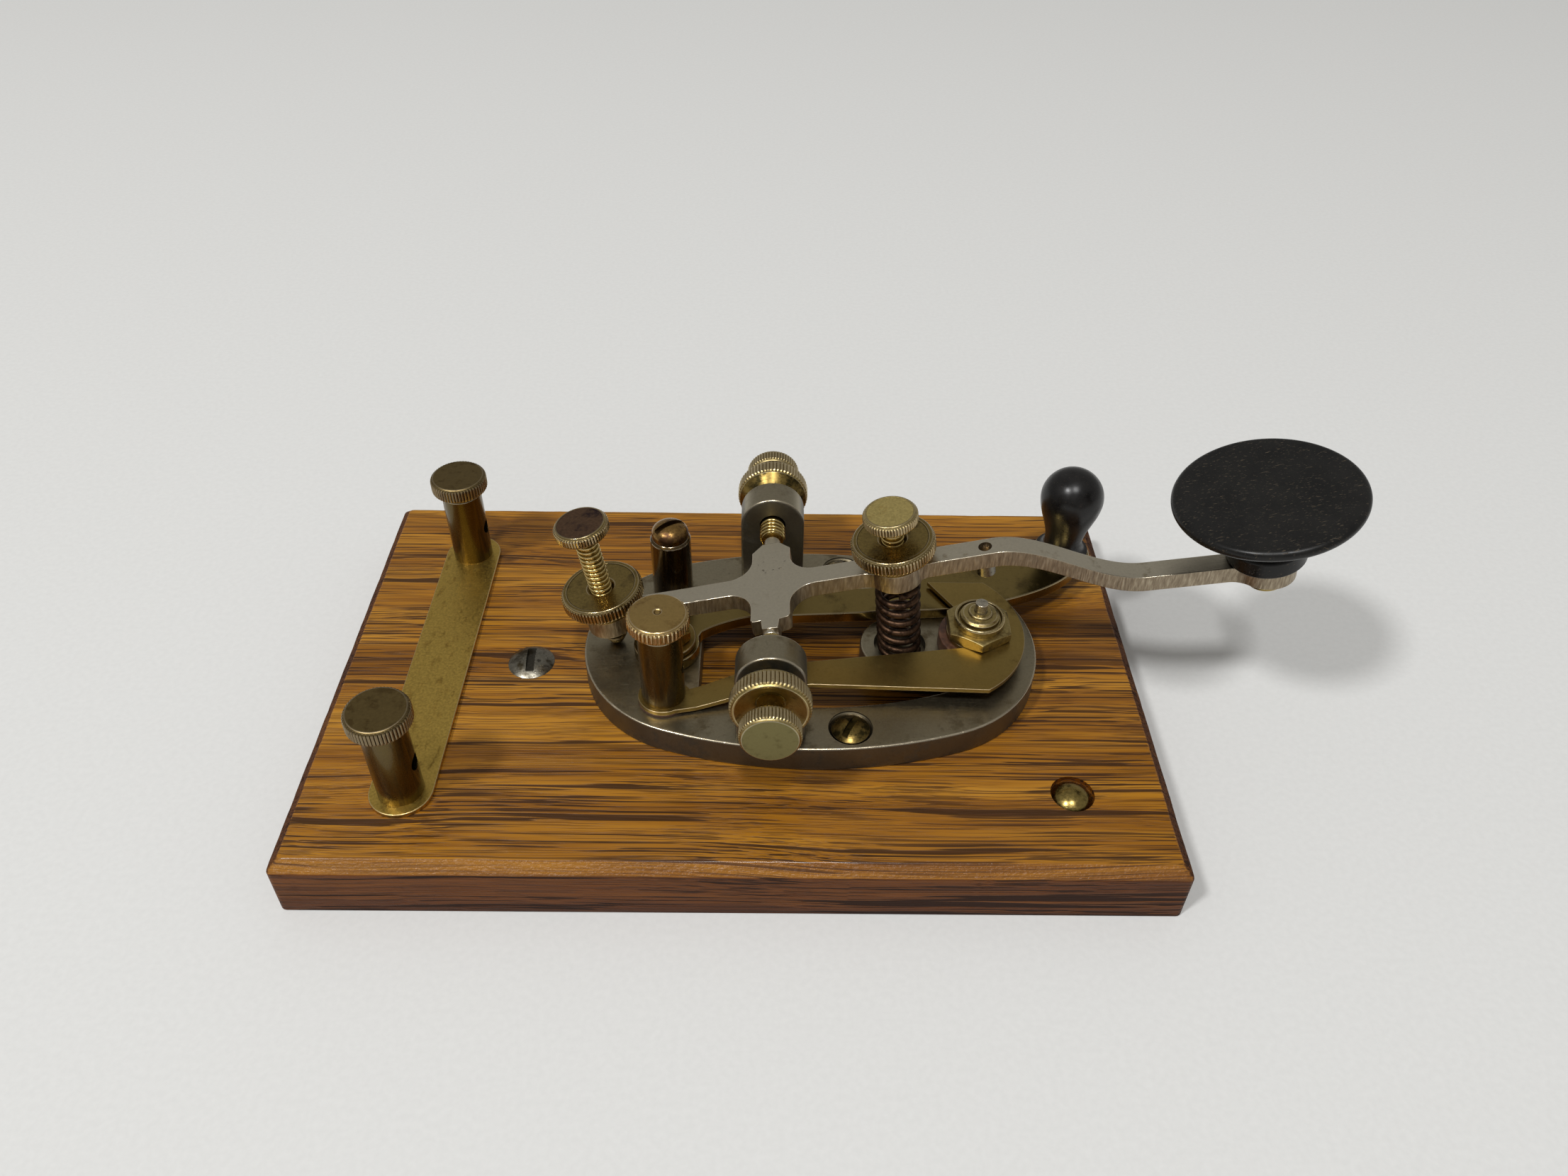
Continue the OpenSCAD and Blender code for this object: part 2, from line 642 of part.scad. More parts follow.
// Bevelled board, with the cuts for everything that reaches into it
module wood_base() {
    frame_pocket = post_screw_head_t + pocket_gap;
    color(oak) difference() {
        intersection() {
            rotate([90, 0, 90]) linear_extrude(board_l, center = true) board_section(board_w);
            rotate([90, 0, 0]) linear_extrude(board_w, center = true) board_section(board_l);
        }
        at_steel_screw() slotted_screw_hole(steel_screw_d, board_shank_d, board_screw_l, cut);
        at_brass_screw() slotted_screw_hole(brass_screw_d + 2 * head_room, board_shank_d,
            board_screw_l, brass_screw_sink + cut);
        for (y = [line_near_y, line_far_y]) translate([line_x, y, 0]) {
            translate([0, 0, -cut])
                cylinder(d = post_screw_head_d + 2 * pocket_gap, h = cut + line_counterbore);
            cylinder(d = post_thread_d + 2 * fit, h = board_h + cut);
        }
        at_frame_screws()
            slotted_screw_hole(frame_screw_d + 2 * head_room, frame_shank_d, frame_screw_l, cut);
        on_key() {
            translate([near_post_x, -near_post_y, board_h])
                pocket(max(bush_washer_d, post_screw_head_d), frame_pocket + bush_washer_t);
            translate([far_post_x, far_post_y, board_h]) pocket(post_screw_head_d, frame_pocket);
            translate([closer_x, -closer_y, board_h]) pocket(bolt_head_d, bolt_head_t + pocket_gap);
            translate([anvil_x, 0, board_h])
                pocket(lower_washer_d, lower_washer_t + lower_nut_t + stud_end + pocket_gap);
        }
    }
}

// End view of the board with its bevelled top edges
module board_section(width) {
    polygon([
        [-width / 2, 0], [width / 2, 0],
        [width / 2, board_h - board_bevel], [width / 2 - board_bevel, board_h],
        [board_bevel - width / 2, board_h], [-width / 2, board_h - board_bevel]]);
}

// Round pocket sunk from the board's top
module pocket(inner_d, depth) {
    translate([0, 0, -depth]) cylinder(d = inner_d + 2 * pocket_gap, h = depth + cut);
}

module at_steel_screw() {
    translate([steel_screw_x, steel_screw_y, board_h]) children();
}

module at_brass_screw() {
    translate([brass_screw_x, brass_screw_y, board_h - brass_screw_sink]) children();
}

module at_frame_screws() {
    for (side = [-1, 1]) on_key()
        translate([frame_screw_x, side * frame_screw_y, frame_top - frame_screw_sink]) children();
}

module board_screw_steel() {
    color(steel) at_steel_screw()
        slotted_screw(steel_screw_d, board_dome_h, board_shank_d, board_screw_l, steel_slot_turn);
}

module board_screw_brass() {
    color(bright_brass) at_brass_screw()
        slotted_screw(brass_screw_d, brass_screw_sink, board_shank_d, board_screw_l, brass_slot_turn);
}

// Strap under both line posts
module terminal_strap() {
    color(bright_brass) translate([line_x, 0, board_h]) linear_extrude(strap_t) difference() {
        union() {
            translate([-line_strap_w / 2, line_near_y]) square([line_strap_w, line_far_y - line_near_y]);
            for (y = [line_near_y, line_far_y]) translate([0, y]) circle(d = line_strap_w);
        }
        for (y = [line_near_y, line_far_y]) translate([0, y]) circle(d = post_thread_d + 2 * fit);
    }
}

module line_post(y) {
    color(dark_brass) translate([line_x, y, line_foot_z]) binding_post(line_post_h);
}

module line_post_near() {
    line_post(line_near_y);
}

module line_post_far() {
    line_post(line_far_y);
}

// Screws that hold the line posts from below
module line_post_screws() {
    color(bright_brass) for (y = [line_near_y, line_far_y]) translate([line_x, y, line_counterbore])
        post_screw(line_foot_z - line_counterbore + post_thread_l);
}

module line_thumbscrew(y) {
    color(dark_brass) translate([line_x, y, line_foot_z]) thumbscrew(line_post_h, line_cap_d, line_cap_h, 0);
}

module line_thumbscrew_near() {
    line_thumbscrew(line_near_y);
}

module line_thumbscrew_far() {
    line_thumbscrew(line_far_y);
}

// Plan of the frame's opening, around the tongue
module frame_opening() {
    difference() {
        intersection() {
            translate([frame_mid, 0])
                polygon(oval(frame_l / 2 - frame_rim, frame_w / 2 - frame_rim, frame_end_r - frame_rim));
            translate([-opening_back, -frame_w / 2]) square([frame_l, frame_w]);
        }
        polygon(concat(
            arc([seat_x, 0], tongue_w / 2, 90, 270, 2 * curve_steps),
            [[frame_l, -tongue_w / 2], [frame_l, tongue_w / 2]]));
    }
}

// Casting: oval base with a tongue, and two round-topped uprights
module key_frame() {
    color(nickel) difference() {
        union() {
            on_key() translate([0, 0, board_h]) linear_extrude(frame_t) difference() {
                translate([frame_mid, 0]) polygon(oval(frame_l / 2, frame_w / 2, frame_end_r));
                frame_opening();
            }
            for (side = [-1, 1]) on_trunnion(side) translate([0, 0, upright_gap / 2]) upright(side);
        }
        for (side = [-1, 1]) on_trunnion(side) cylinder(d = trunnion_d + 2 * fit, h = upright_out + cut);
        at_frame_screws()
            slotted_screw_hole(frame_screw_d + 2 * head_room, frame_shank_d, frame_screw_l, cut);
        on_key() {
            translate([near_post_x, -near_post_y, 0]) cylinder(d = bush_d + 2 * fit, h = frame_top + cut);
            translate([far_post_x, far_post_y, 0]) cylinder(d = post_thread_d + 2 * fit, h = frame_top + cut);
            translate([closer_x, -closer_y, 0]) cylinder(d = closer_bolt_d + 2 * fit, h = frame_top + cut);
            translate([anvil_x, 0, 0]) cylinder(d = fibre_bush_d + 2 * fit, h = frame_top + cut);
            translate([seat_x, 0, seat_z]) cylinder(d = seat_d, h = seat_depth + cut);
        }
    }
}

// One upright in its trunnion's frame, down to the middle of the frame's thickness
module upright(side) {
    foot = pivot_rise + frame_t / 2;
    outline = concat(
        arc([0, 0], upright_w / 2, 0, 180, 2 * curve_steps),
        [[-upright_w / 2, -foot], [upright_w / 2, -foot]]);
    linear_extrude(upright_t) polygon([for (p = outline) [p.x, side * p.y]]);
}

module frame_screws() {
    color(bright_brass) at_frame_screws()
        slotted_screw(frame_screw_d, frame_dome_h, frame_shank_d, frame_screw_l, frame_slot_turn);
}

module at_near_post() {
    on_key() translate([near_post_x, -near_post_y, 0]) children();
}

module at_far_post() {
    on_key() translate([far_post_x, far_post_y, 0]) children();
}

module frame_post_near() {
    color(dark_brass) at_near_post() translate([0, 0, near_foot_z]) binding_post(near_post_h);
}

module frame_thumbscrew() {
    color(old_brass) at_near_post() translate([0, 0, near_foot_z])
        thumbscrew(near_post_h, frame_cap_d, frame_cap_h, rim_bevel);
}

// Plain post with a chamfered rim and a thread at each end
module frame_post_far() {
    color(dark_brass) at_far_post() translate([0, 0, frame_top]) difference() {
        rotate_extrude() polygon([
            [0, 0], [post_d / 2, 0], [post_d / 2, far_post_h - post_chamfer],
            [post_d / 2 - post_chamfer, far_post_h], [0, far_post_h]]);
        translate([0, 0, -cut]) cylinder(d = post_thread_d + 2 * fit, h = cut + post_thread_l + fit);
        translate([0, 0, far_post_h - far_post_thread_l - fit])
            cylinder(d = post_thread_d + 2 * fit, h = far_post_thread_l + cut);
    }
}

// Slotted round-head screw in the far post
module post_cap_screw() {
    color(old_brass) at_far_post() translate([0, 0, frame_top + far_post_h]) difference() {
        rotate_extrude() polygon(concat(
            [[0, -far_post_thread_l], [post_thread_d / 2, -far_post_thread_l], [post_thread_d / 2, 0],
                [post_screw_d / 2, 0]],
            [for (p = dome(post_screw_d / 2, far_post_dome_h)) p + [0, rim_bevel]]));
        translate([0, 0, far_post_dome_h + rim_bevel]) rotate(cap_slot_turn)
            cube([post_screw_d + cut, slot_w, 2 * slot_depth], center = true);
    }
}

// Screws that hold the two frame posts from below
module frame_post_screws() {
    color(bright_brass) {
        at_near_post() translate([0, 0, board_h - bush_washer_t])
            post_screw(near_foot_z - board_h + bush_washer_t + post_thread_l);
        at_far_post() translate([0, 0, board_h]) post_screw(frame_t + post_thread_l);
    }
}

// Flanged bush over the frame and loose washer below it, around the near post's screw
module strap_bush() {
    color(fibre) at_near_post() {
        difference() {
            union() {
                translate([0, 0, board_h + pocket_gap]) cylinder(d = bush_d, h = frame_t - pocket_gap);
                translate([0, 0, frame_top]) cylinder(d = strap_end_d, h = bush_flange_t);
            }
            cylinder(d = post_thread_d + 2 * fit, h = near_foot_z);
        }
        translate([0, 0, board_h - bush_washer_t]) difference() {
            cylinder(d = bush_washer_d, h = bush_washer_t);
            translate([0, 0, -cut]) cylinder(d = post_thread_d + 2 * fit, h = bush_washer_t + 2 * cut);
        }
    }
}

// Strap from the near post to the anvil: its plan, cut from a sheet bent up a ramp
module anvil_strap() {
    color(old_brass) on_key() difference() {
        intersection() {
            linear_extrude(pivot_z) anvil_strap_plan();
            rotate([90, 0, 0]) linear_extrude(frame_w, center = true) anvil_strap_side();
        }
        translate([near_post_x, -near_post_y, 0]) cylinder(d = post_thread_d + 2 * fit, h = pivot_z);
        translate([anvil_x, 0, 0]) cylinder(d = anvil_stud_d + 2 * fit, h = pivot_z);
    }
}

module anvil_strap_plan() {
    near_post = [near_post_x, -near_post_y];
    anvil = [anvil_x, 0];
    arc_middle = anvil - [strap_arc_back, 0];
    finger_y = strap_finger[1].y;
    translate(near_post) circle(d = strap_end_d);
    translate(anvil) circle(r = strap_disc_r);
    polygon(concat(
        [near_post - [0, strap_end_d / 2]],
        [for (p = strap_neck_near) near_post + p], [for (p = strap_strip_near) anvil + p],
        [for (p = strap_strip_far) anvil + p], [for (p = strap_neck_far) near_post + p],
        [near_post + [0, strap_end_d / 2]]));
    intersection() {
        translate(arc_middle) circle(r = strap_arc_r);
        polygon(concat(
            [anvil + strap_strip_far[0], anvil + strap_strip_near[1]],
            [anvil + [strap_arc_r, strap_strip_near[1].y], anvil + [strap_arc_r, finger_y]],
            [anvil + strap_finger[1], anvil + strap_finger[0], anvil]));
    }
}

module anvil_strap_side() {
    ramp = near_post_x + strap_ramp_start;
    low = [[near_post_x - strap_end_d, strap_low_z], [ramp, strap_low_z],
        [ramp + strap_ramp_l, strap_high_z], [frame_mid + frame_l / 2 + strap_arc_r, strap_high_z]];
    polygon(concat(low, [for (i = [len(low) - 1:-1:0]) low[i] + [0, strap_t]]));
}

module at_anvil() {
    on_key() translate([anvil_x, 0, 0]) children();
}

// Fibre disc over the frame with its bush through the frame
module anvil_insulator() {
    color(fibre) at_anvil() difference() {
        union() {
            translate([0, 0, board_h]) cylinder(d = fibre_bush_d, h = frame_t);
            translate([0, 0, frame_top]) cylinder(d = fibre_d, h = fibre_t);
        }
        cylinder(d = anvil_stud_d + 2 * fit, h = strap_high_z + cut);
    }
}

// Stud with its stepped head and its contact point
module anvil_stud() {
    top = anvil_strap_top + anvil_h;
    head = anvil_strap_top + anvil_nut_t;
    ring_h = 0.3 * (top - head);
    dome_h = ring_h / 2;
    lip_h = ring_h / 3;
    dome_r = anvil_ring_d / 2.6;
    lip_r = anvil_ring_d / 4.3;
    end = board_h - lower_washer_t - lower_nut_t - stud_end;
    color(bright_brass) at_anvil() rotate_extrude() polygon([
        [0, end], [anvil_stud_d / 2, end], [anvil_stud_d / 2, head],
        [anvil_ring_d / 2, head], [anvil_ring_d / 2, head + ring_h],
        [dome_r, head + ring_h], [dome_r, head + ring_h + dome_h],
        [lip_r, head + ring_h + dome_h], [lip_r, head + ring_h + dome_h + lip_h],
        [anvil_point_d / 2, head + ring_h + dome_h + lip_h], [anvil_point_d / 2, top], [0, top]]);
}

module anvil_nut() {
    color(bright_brass) at_anvil() translate([0, 0, anvil_strap_top]) difference() {
        rotate(30) hexagon(anvil_nut_af, anvil_nut_t);
        translate([0, 0, -cut]) cylinder(d = anvil_stud_d + 2 * fit, h = anvil_nut_t + 2 * cut);
    }
}

module anvil_lower_washer() {
    color(fibre) at_anvil() translate([0, 0, board_h - lower_washer_t]) difference() {
        cylinder(d = lower_washer_d, h = lower_washer_t);
        translate([0, 0, -cut]) cylinder(d = anvil_stud_d + 2 * fit, h = lower_washer_t + 2 * cut);
    }
}

module anvil_lower_nut() {
    color(bright_brass) at_anvil() translate([0, 0, board_h - lower_washer_t - lower_nut_t]) difference() {
        hexagon(lower_nut_af, lower_nut_t);
        translate([0, 0, -cut]) cylinder(d = anvil_stud_d + 2 * fit, h = lower_nut_t + 2 * cut);
    }
}

module at_closer() {
    on_key() translate([closer_x, -closer_y, 0]) children();
}

// Bolt of the closer, its head under the frame
module closer_bolt() {
    color(old_brass) at_closer() {
        translate([0, 0, board_h - bolt_head_t]) cylinder(d = bolt_head_d, h = bolt_head_t);
        translate([0, 0, board_h])
            cylinder(d = closer_bolt_d, h = closer_nut_z + closer_nut_t + bolt_end - board_h);
    }
}

module closer_washer() {
    color(dark_brass) at_closer() translate([0, 0, closer_washer_z]) difference() {
        cylinder(d = closer_washer_d, h = closer_washer_t);
        translate([0, 0, -cut]) cylinder(d = closer_bolt_d + 2 * fit, h = closer_washer_t + 2 * cut);
    }
}

module closer_nut() {
    color(old_brass) at_closer() translate([0, 0, closer_nut_z]) difference() {
        rotate(closer_nut_turn) hexagon(closer_nut_af, closer_nut_t);
        translate([0, 0, -cut]) cylinder(d = closer_bolt_d + 2 * fit, h = closer_nut_t + 2 * cut);
    }
}

// Curved blade from the pivot's lobe to the round end under the knob
module closer_blade() {
    route = smooth_route(blade_route);
    last = len(route) - 1;
    color(old_brass) at_closer() translate([0, 0, blade_z]) difference() {
        linear_extrude(blade_t) difference() {
            union() {
                circle(d = blade_lobe_d);
                translate(blade_end) circle(d = blade_end_d);
                polygon(concat(
                    [for (i = [0:last]) beside(route, i, -blade_half(route[i].x))],
                    [for (i = [last:-1:0]) beside(route, i, blade_half(route[i].x))]));
            }
            circle(d = closer_bolt_d + 2 * fit);
        }
        translate(blade_end) closer_screw_shape(fit);
    }
}

// Countersunk screw shape from the blade's underside up, grown by a clearance
module closer_screw_shape(grow) {
    rotate_extrude() polygon([
        [0, grow > 0 ? -cut : 0], [closer_screw_head_d / 2 + grow, grow > 0 ? -cut : 0],
        [closer_screw_head_d / 2 + grow, 0], [closer_screw_d / 2 + grow, closer_screw_head_h],
        [closer_screw_d / 2 + grow, closer_screw_l + grow], [0, closer_screw_l + grow]]);
}

module at_closer_knob() {
    at_closer() translate([blade_end.x, blade_end.y, 0]) children();
}

// Drop-shaped knob of the closer
module closer_knob() {
    foot_r = closer_foot_d / 2;
    neck_r = closer_neck_d / 2;
    ball_r = closer_ball_d / 2;
    ball = [0, closer_ball_h];
    swell_end = ball + ball_r * [cos(ball_start), sin(ball_start)];
    swell_pull = closer_ball_h - closer_neck_h;
    color(black) at_closer_knob() translate([0, 0, blade_top]) difference() {
        rotate_extrude() polygon(concat(
            [[0, 0], [foot_r, 0]],
            [for (a = [0:15:75]) [foot_r - (foot_r - neck_r) * sin(a),
                closer_foot_h + (closer_neck_h - closer_foot_h) * (1 - cos(a))]],
            [for (i = [0:curve_steps - 1]) between([neck_r, closer_neck_h], swell_end, [0, swell_pull],
                swell_pull * [-sin(ball_start), cos(ball_start)], i / curve_steps)],
            arc(ball, ball_r, ball_start, 90, 2 * curve_steps)));
        translate([0, 0, -cut])
            cylinder(d = closer_screw_d + 2 * fit, h = cut + closer_screw_l - blade_t + fit);
    }
}

module closer_knob_screw() {
    color(bright_brass) at_closer_knob() translate([0, 0, blade_z]) closer_screw_shape(0);
}

// Trunnion screw with a cup for the lever's pivot
module trunnion_screw(side) {
    tip = trunnion_gap / 2;
    cup_r = cup_tip + cup_fit - tip;
    thread_r = trunnion_d / 2;
    head = upright_out + trunnion_head_out;
    color(bright_brass) on_trunnion(side) rotate_extrude() polygon(concat(
        [[0, cup_tip + cup_fit], [cup_r, tip], [thread_r - thread_depth, tip]],
        thread_edge(thread_r, tip + rim_bevel, head),
        [[thread_r - thread_depth, head]],
        head_edge(trunnion_head_d, head, trunnion_head_t)));
}

module trunnion_screw_near() {
    trunnion_screw(1);
}

module trunnion_screw_far() {
    trunnion_screw(-1);
}

// Trunnion lock nut: bevelled hub against the upright, knurled rim, and a dished outer face
module trunnion_nut(side) {
    bore_r = trunnion_d / 2 + fit;
    rim_r = trunnion_nut_d / 2;
    top = trunnion_hub_t + trunnion_rim_t;
    color(old_brass) on_trunnion(side) translate([0, 0, upright_out + face_gap]) rotate_extrude() polygon([
        [bore_r, 0], [rim_r - trunnion_hub_t, 0], [rim_r, trunnion_hub_t], [rim_r, top - rim_bevel],
        [rim_r - rim_bevel, top], [rim_r - nut_dish_land, top],
        [nut_dish_floor_d / 2, top - nut_dish_depth], [bore_r, top - nut_dish_depth]]);
}

module trunnion_nut_near() {
    trunnion_nut(1);
}

module trunnion_nut_far() {
    trunnion_nut(-1);
}

// Plan of the lever: tail boss, bar with cross arms, spring boss, and pad
module lever_plan() {
    tail_r = tail_boss_d / 2 - boss_lip;
    boss_r = spring_boss_d / 2 - boss_lip;
    pad_r = pad_d / 2;
    arm = [arm_w, arm_span] / 2;
    edge = concat(
        open_arc([-tail_reach, 0], tail_r, 180, blend_angle(tail_r)),
        blend_out_of(-tail_reach, tail_r),
        open_arc([-arm.x - lever_fillet, fillet_y], lever_fillet, 270, 360),
        [[-arm.x, fillet_y], [-arm.x, arm.y], [arm.x, arm.y]],
        open_arc([arm.x + lever_fillet, fillet_y], lever_fillet, 180, 270),
        [[arm.x + lever_fillet, lever_w / 2]],
        blend_into(spring_reach, boss_r),
        open_arc([spring_reach, 0], boss_r, 180 - blend_angle(boss_r), blend_angle(boss_r)),
        blend_out_of(spring_reach, boss_r),
        [[spring_reach + blend_reach(boss_r), lever_w / 2]],
        blend_into(knob_reach, pad_r),
        open_arc([knob_reach, 0], pad_r, 180 - blend_angle(pad_r), 0, 2 * curve_steps));
    polygon(concat(
        edge, [[knob_reach + pad_r, 0]],
        [for (i = [len(edge) - 1:-1:1]) [edge[i].x, -edge[i].y]]));
}

// Side view of the bar: rising, then dropping to the pad under the knob
module lever_side() {
    stations = concat(
        [-tail_reach - tail_boss_d],
        [for (i = [0:drop_steps]) drop_start + (drop_end - drop_start) * i / drop_steps],
        [knob_reach + pad_d]);
    polygon(concat(
        [for (u = stations) [u, lever_mid(u) - lever_t / 2]],
        [for (i = [len(stations) - 1:-1:0]) [stations[i], lever_mid(stations[i]) + lever_t / 2]]));
}

// Lever: bar with bosses, cross arms and conical pivots
module lever() {
    tall = 2 * drop_h + lever_t;
    color(nickel) on_lever() difference() {
        union() {
            intersection() {
                translate([0, 0, -tall]) linear_extrude(2 * tall) lever_plan();
                rotate([90, 0, 0]) linear_extrude(arm_span + cut, center = true) lever_side();
            }
            translate([-tail_reach, 0, tail_mid - boss_half]) cylinder(d = tail_boss_d, h = 2 * boss_half);
            translate([spring_reach, 0, spring_boss_low]) cylinder(d = spring_boss_d, h = 2 * boss_half);
            at_pad() cylinder(d = pad_d - 2 * boss_lip, h = pad_up);
            at_pad() translate([0, 0, -pad_down]) cylinder(d = knob_screw_head_d + 2 * boss_lip, h = pad_down);
            for (side = [-1, 1]) rotate([side * 90, 0, 0]) lever_pivot();
        }
        translate([-tail_reach, 0, -tall]) cylinder(d = adjust_d + 2 * fit, h = 2 * tall);
        translate([spring_reach, 0, -tall]) cylinder(d = adjust_d + 2 * fit, h = 2 * tall);
        translate([contact_reach, 0, -tall]) cylinder(d = rivet_d + 2 * fit, h = 2 * tall);
        at_pad() translate([0, 0, -tall]) cylinder(d = knob_screw_d + 2 * fit, h = 2 * tall);
    }
}

// Seat of the knob, square to the pad and leaning with it
module at_pad() {
    translate([knob_reach, 0, pad_mid]) rotate([0, -pad_tilt, 0]) children();
}

// Pivot that stands out of an arm's end and runs to a point in the trunnion's cup
module lever_pivot() {
    root = arm_span / 2 - pivot_l;
    rotate_extrude() polygon([
        [0, root], [pivot_d / 2, root], [pivot_d / 2, cup_tip - pivot_d / 2], [0, cup_tip]]);
}

// Contact rivet: nub under the bar, shank up to the bar's top
module lever_contact() {
    top = lever_slope * (contact_reach - rivet_d / 2) + lever_t / 2;
    color(steel) on_lever() translate([contact_reach, 0, 0]) rotate_extrude() polygon([
        [0, -contact_drop], [contact_d / 2, -contact_drop], [contact_d / 2, contact_shoulder],
        [rivet_d / 2, contact_shoulder], [rivet_d / 2, top], [0, top - rim_bevel]]);
}

// Finger knob: collar on the pad, waist, and a flat round top with a rounded rim
module main_knob() {
    collar_r = collar_d / 2;
    waist_r = waist_d / 2;
    rim_r = knob_rim_t / 2;
    flare = [knob_d / 2 - rim_r - waist_r, knob_h - rim_r - collar_h - knob_bevel];
    color(black) on_lever() at_pad() translate([0, 0, pad_up]) difference() {
        rotate_extrude() polygon(concat(
            [[0, 0], [collar_r, 0], [collar_r, collar_h - knob_bevel], [collar_r - knob_bevel, collar_h]],
            [for (a = [0:10:90])
                [waist_r + flare.x * (1 - cos(a)), collar_h + knob_bevel + flare.y * sin(a)]],
            arc([knob_d / 2 - rim_r, knob_h], rim_r, -75, 90),
            [[0, knob_h + rim_r]]));
        translate([0, 0, -cut]) cylinder(d = knob_screw_d + 2 * fit, h = cut + knob_screw_l + fit);
    }
}

// Screw that holds the finger knob from under the pad
module knob_screw() {
    color(bright_brass) on_lever() at_pad() translate([0, 0, -pad_down]) {
        translate([0, 0, -knob_screw_head_t]) difference() {
            cylinder(d = knob_screw_head_d, h = knob_screw_head_t);
            cube([knob_screw_head_d + cut, slot_w, 2 * slot_depth], center = true);
        }
        cylinder(d = knob_screw_d, h = pad_down + pad_up + knob_screw_l);
    }
}

// Gap screw at the lever's tail, with a round tip over the frame
module gap_screw() {
    head = tail_top + gap_head_rise;
    thread_r = adjust_d / 2;
    tip = [0, gap_tip_w];
    color(bright_brass) on_lever() translate([-tail_reach, 0, 0]) rotate_extrude() polygon(concat(
        arc(tip, gap_tip_r, -90, 0),
        thread_edge(thread_r, gap_tip_w, head),
        [[thread_r - thread_depth, head]],
        head_edge(gap_head_d, head, gap_head_t)));
}

module gap_nut() {
    color(old_brass) on_lever() translate([-tail_reach, 0, tail_top + face_gap])
        lock_nut(adjust_d, lock_nut_d, lock_hub_d, lock_hub_t, lock_rim_t);
}

// Tension screw over the spring, ending at the boss's underside
module spring_screw() {
    head = spring_boss_top + tension_head_rise;
    thread_r = adjust_d / 2;
    color(bright_brass) on_lever() translate([spring_reach, 0, 0]) rotate_extrude() polygon(concat(
        [[0, spring_boss_low], [thread_r - thread_depth, spring_boss_low]],
        thread_edge(thread_r, spring_boss_low, head),
        [[thread_r - thread_depth, head]],
        head_edge(tension_head_d, head, tension_head_t)));
}

module spring_nut() {
    color(old_brass) on_lever() translate([spring_reach, 0, spring_boss_top + face_gap])
        lock_nut(adjust_d, lock_nut_d, lock_hub_d, lock_hub_t, lock_rim_t);
}

module spring_cap() {
    color(old_brass) on_lever() translate([spring_reach, 0, cap_low])
        cylinder(d = spring_cap_d, h = spring_cap_t);
}

// Coil of round wire from the frame's seat to the cap, swept as one tube
module return_spring() {
    last = len(coil_axis) - 1;
    points = [for (i = [0:last], k = [0:coil_sides - 1])
        let (out = coil_radials[i], up = cross(axis_way(i), out), a = 360 * k / coil_sides)
        coil_axis[i] + spring_wire / 2 * (cos(a) * out + sin(a) * up)];
    skin = [for (i = [0:last - 1], k = [0:coil_sides - 1], half = [0, 1])
        let (a = i * coil_sides + k, b = i * coil_sides + (k + 1) % coil_sides)
        half == 0 ? [a, a + coil_sides, b] : [b, a + coil_sides, b + coil_sides]];
    ends = [for (k = [1:coil_sides - 2], side = [0, 1])
        let (first = side * last * coil_sides)
        side == 0 ? [first, first + k, first + k + 1] : [first, first + k + 1, first + k]];
    color(spring_brown) on_key() polyhedron(points, concat(skin, ends));
}

wood_base();
board_screw_steel();
board_screw_brass();
terminal_strap();
line_post_near();
line_post_far();
line_post_screws();
line_thumbscrew_near();
line_thumbscrew_far();
key_frame();
frame_screws();
frame_post_near();
frame_post_far();
frame_post_screws();
frame_thumbscrew();
post_cap_screw();
strap_bush();
anvil_strap();
anvil_insulator();
anvil_stud();
anvil_nut();
anvil_lower_washer();
anvil_lower_nut();
closer_bolt();
closer_washer();
closer_nut();
closer_blade();
closer_knob();
closer_knob_screw();
trunnion_screw_near();
trunnion_screw_far();
trunnion_nut_near();
trunnion_nut_far();
lever();
lever_contact();
main_knob();
knob_screw();
gap_screw();
gap_nut();
spring_screw();
spring_nut();
spring_cap();
return_spring();
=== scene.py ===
import math

import bmesh
import bpy
from mathutils import Matrix, Vector, noise


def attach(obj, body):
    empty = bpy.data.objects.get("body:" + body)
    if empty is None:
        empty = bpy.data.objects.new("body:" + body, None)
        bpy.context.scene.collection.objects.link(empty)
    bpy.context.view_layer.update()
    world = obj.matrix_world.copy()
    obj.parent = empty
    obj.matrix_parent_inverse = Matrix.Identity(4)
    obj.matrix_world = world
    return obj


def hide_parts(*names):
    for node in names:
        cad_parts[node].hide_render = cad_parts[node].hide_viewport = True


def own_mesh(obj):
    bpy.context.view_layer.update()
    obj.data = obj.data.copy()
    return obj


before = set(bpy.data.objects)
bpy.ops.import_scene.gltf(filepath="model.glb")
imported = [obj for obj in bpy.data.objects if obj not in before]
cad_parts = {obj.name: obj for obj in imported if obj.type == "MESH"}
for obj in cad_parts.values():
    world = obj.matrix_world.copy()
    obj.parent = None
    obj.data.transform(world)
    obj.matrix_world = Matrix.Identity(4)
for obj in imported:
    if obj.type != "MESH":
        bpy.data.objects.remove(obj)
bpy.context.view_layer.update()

# The board: one piece of open-grained oak, sawn square, its top edges broken by hand with a plane,
# stained honey brown and varnished. Everything else is screwed down to it. Sizes are in millimetres,
# and a finished mesh is brought to metres when it is set in its place.
MM = 0.001
board_l, board_w, board_h, board_bevel = 152.4, 96.2, 12.2, 1.9
brass_screw_at, brass_screw_d, brass_screw_sink = (58.5, -31.7), 6.8, 1.2
line_posts_at, pocket_r, pocket_h = {"near": (-57.0, -32.6), "far": (-57.0, 30.5)}, 4.0, 5.0


def colour(red, green, blue):
    """Turns a colour as the eye reads it, 0 to 255, into light."""
    parts = [value / 255 for value in (red, green, blue)]
    return [p / 12.92 if p < 0.04045 else ((p + 0.055) / 1.055) ** 2.4 for p in parts] + [1.0]


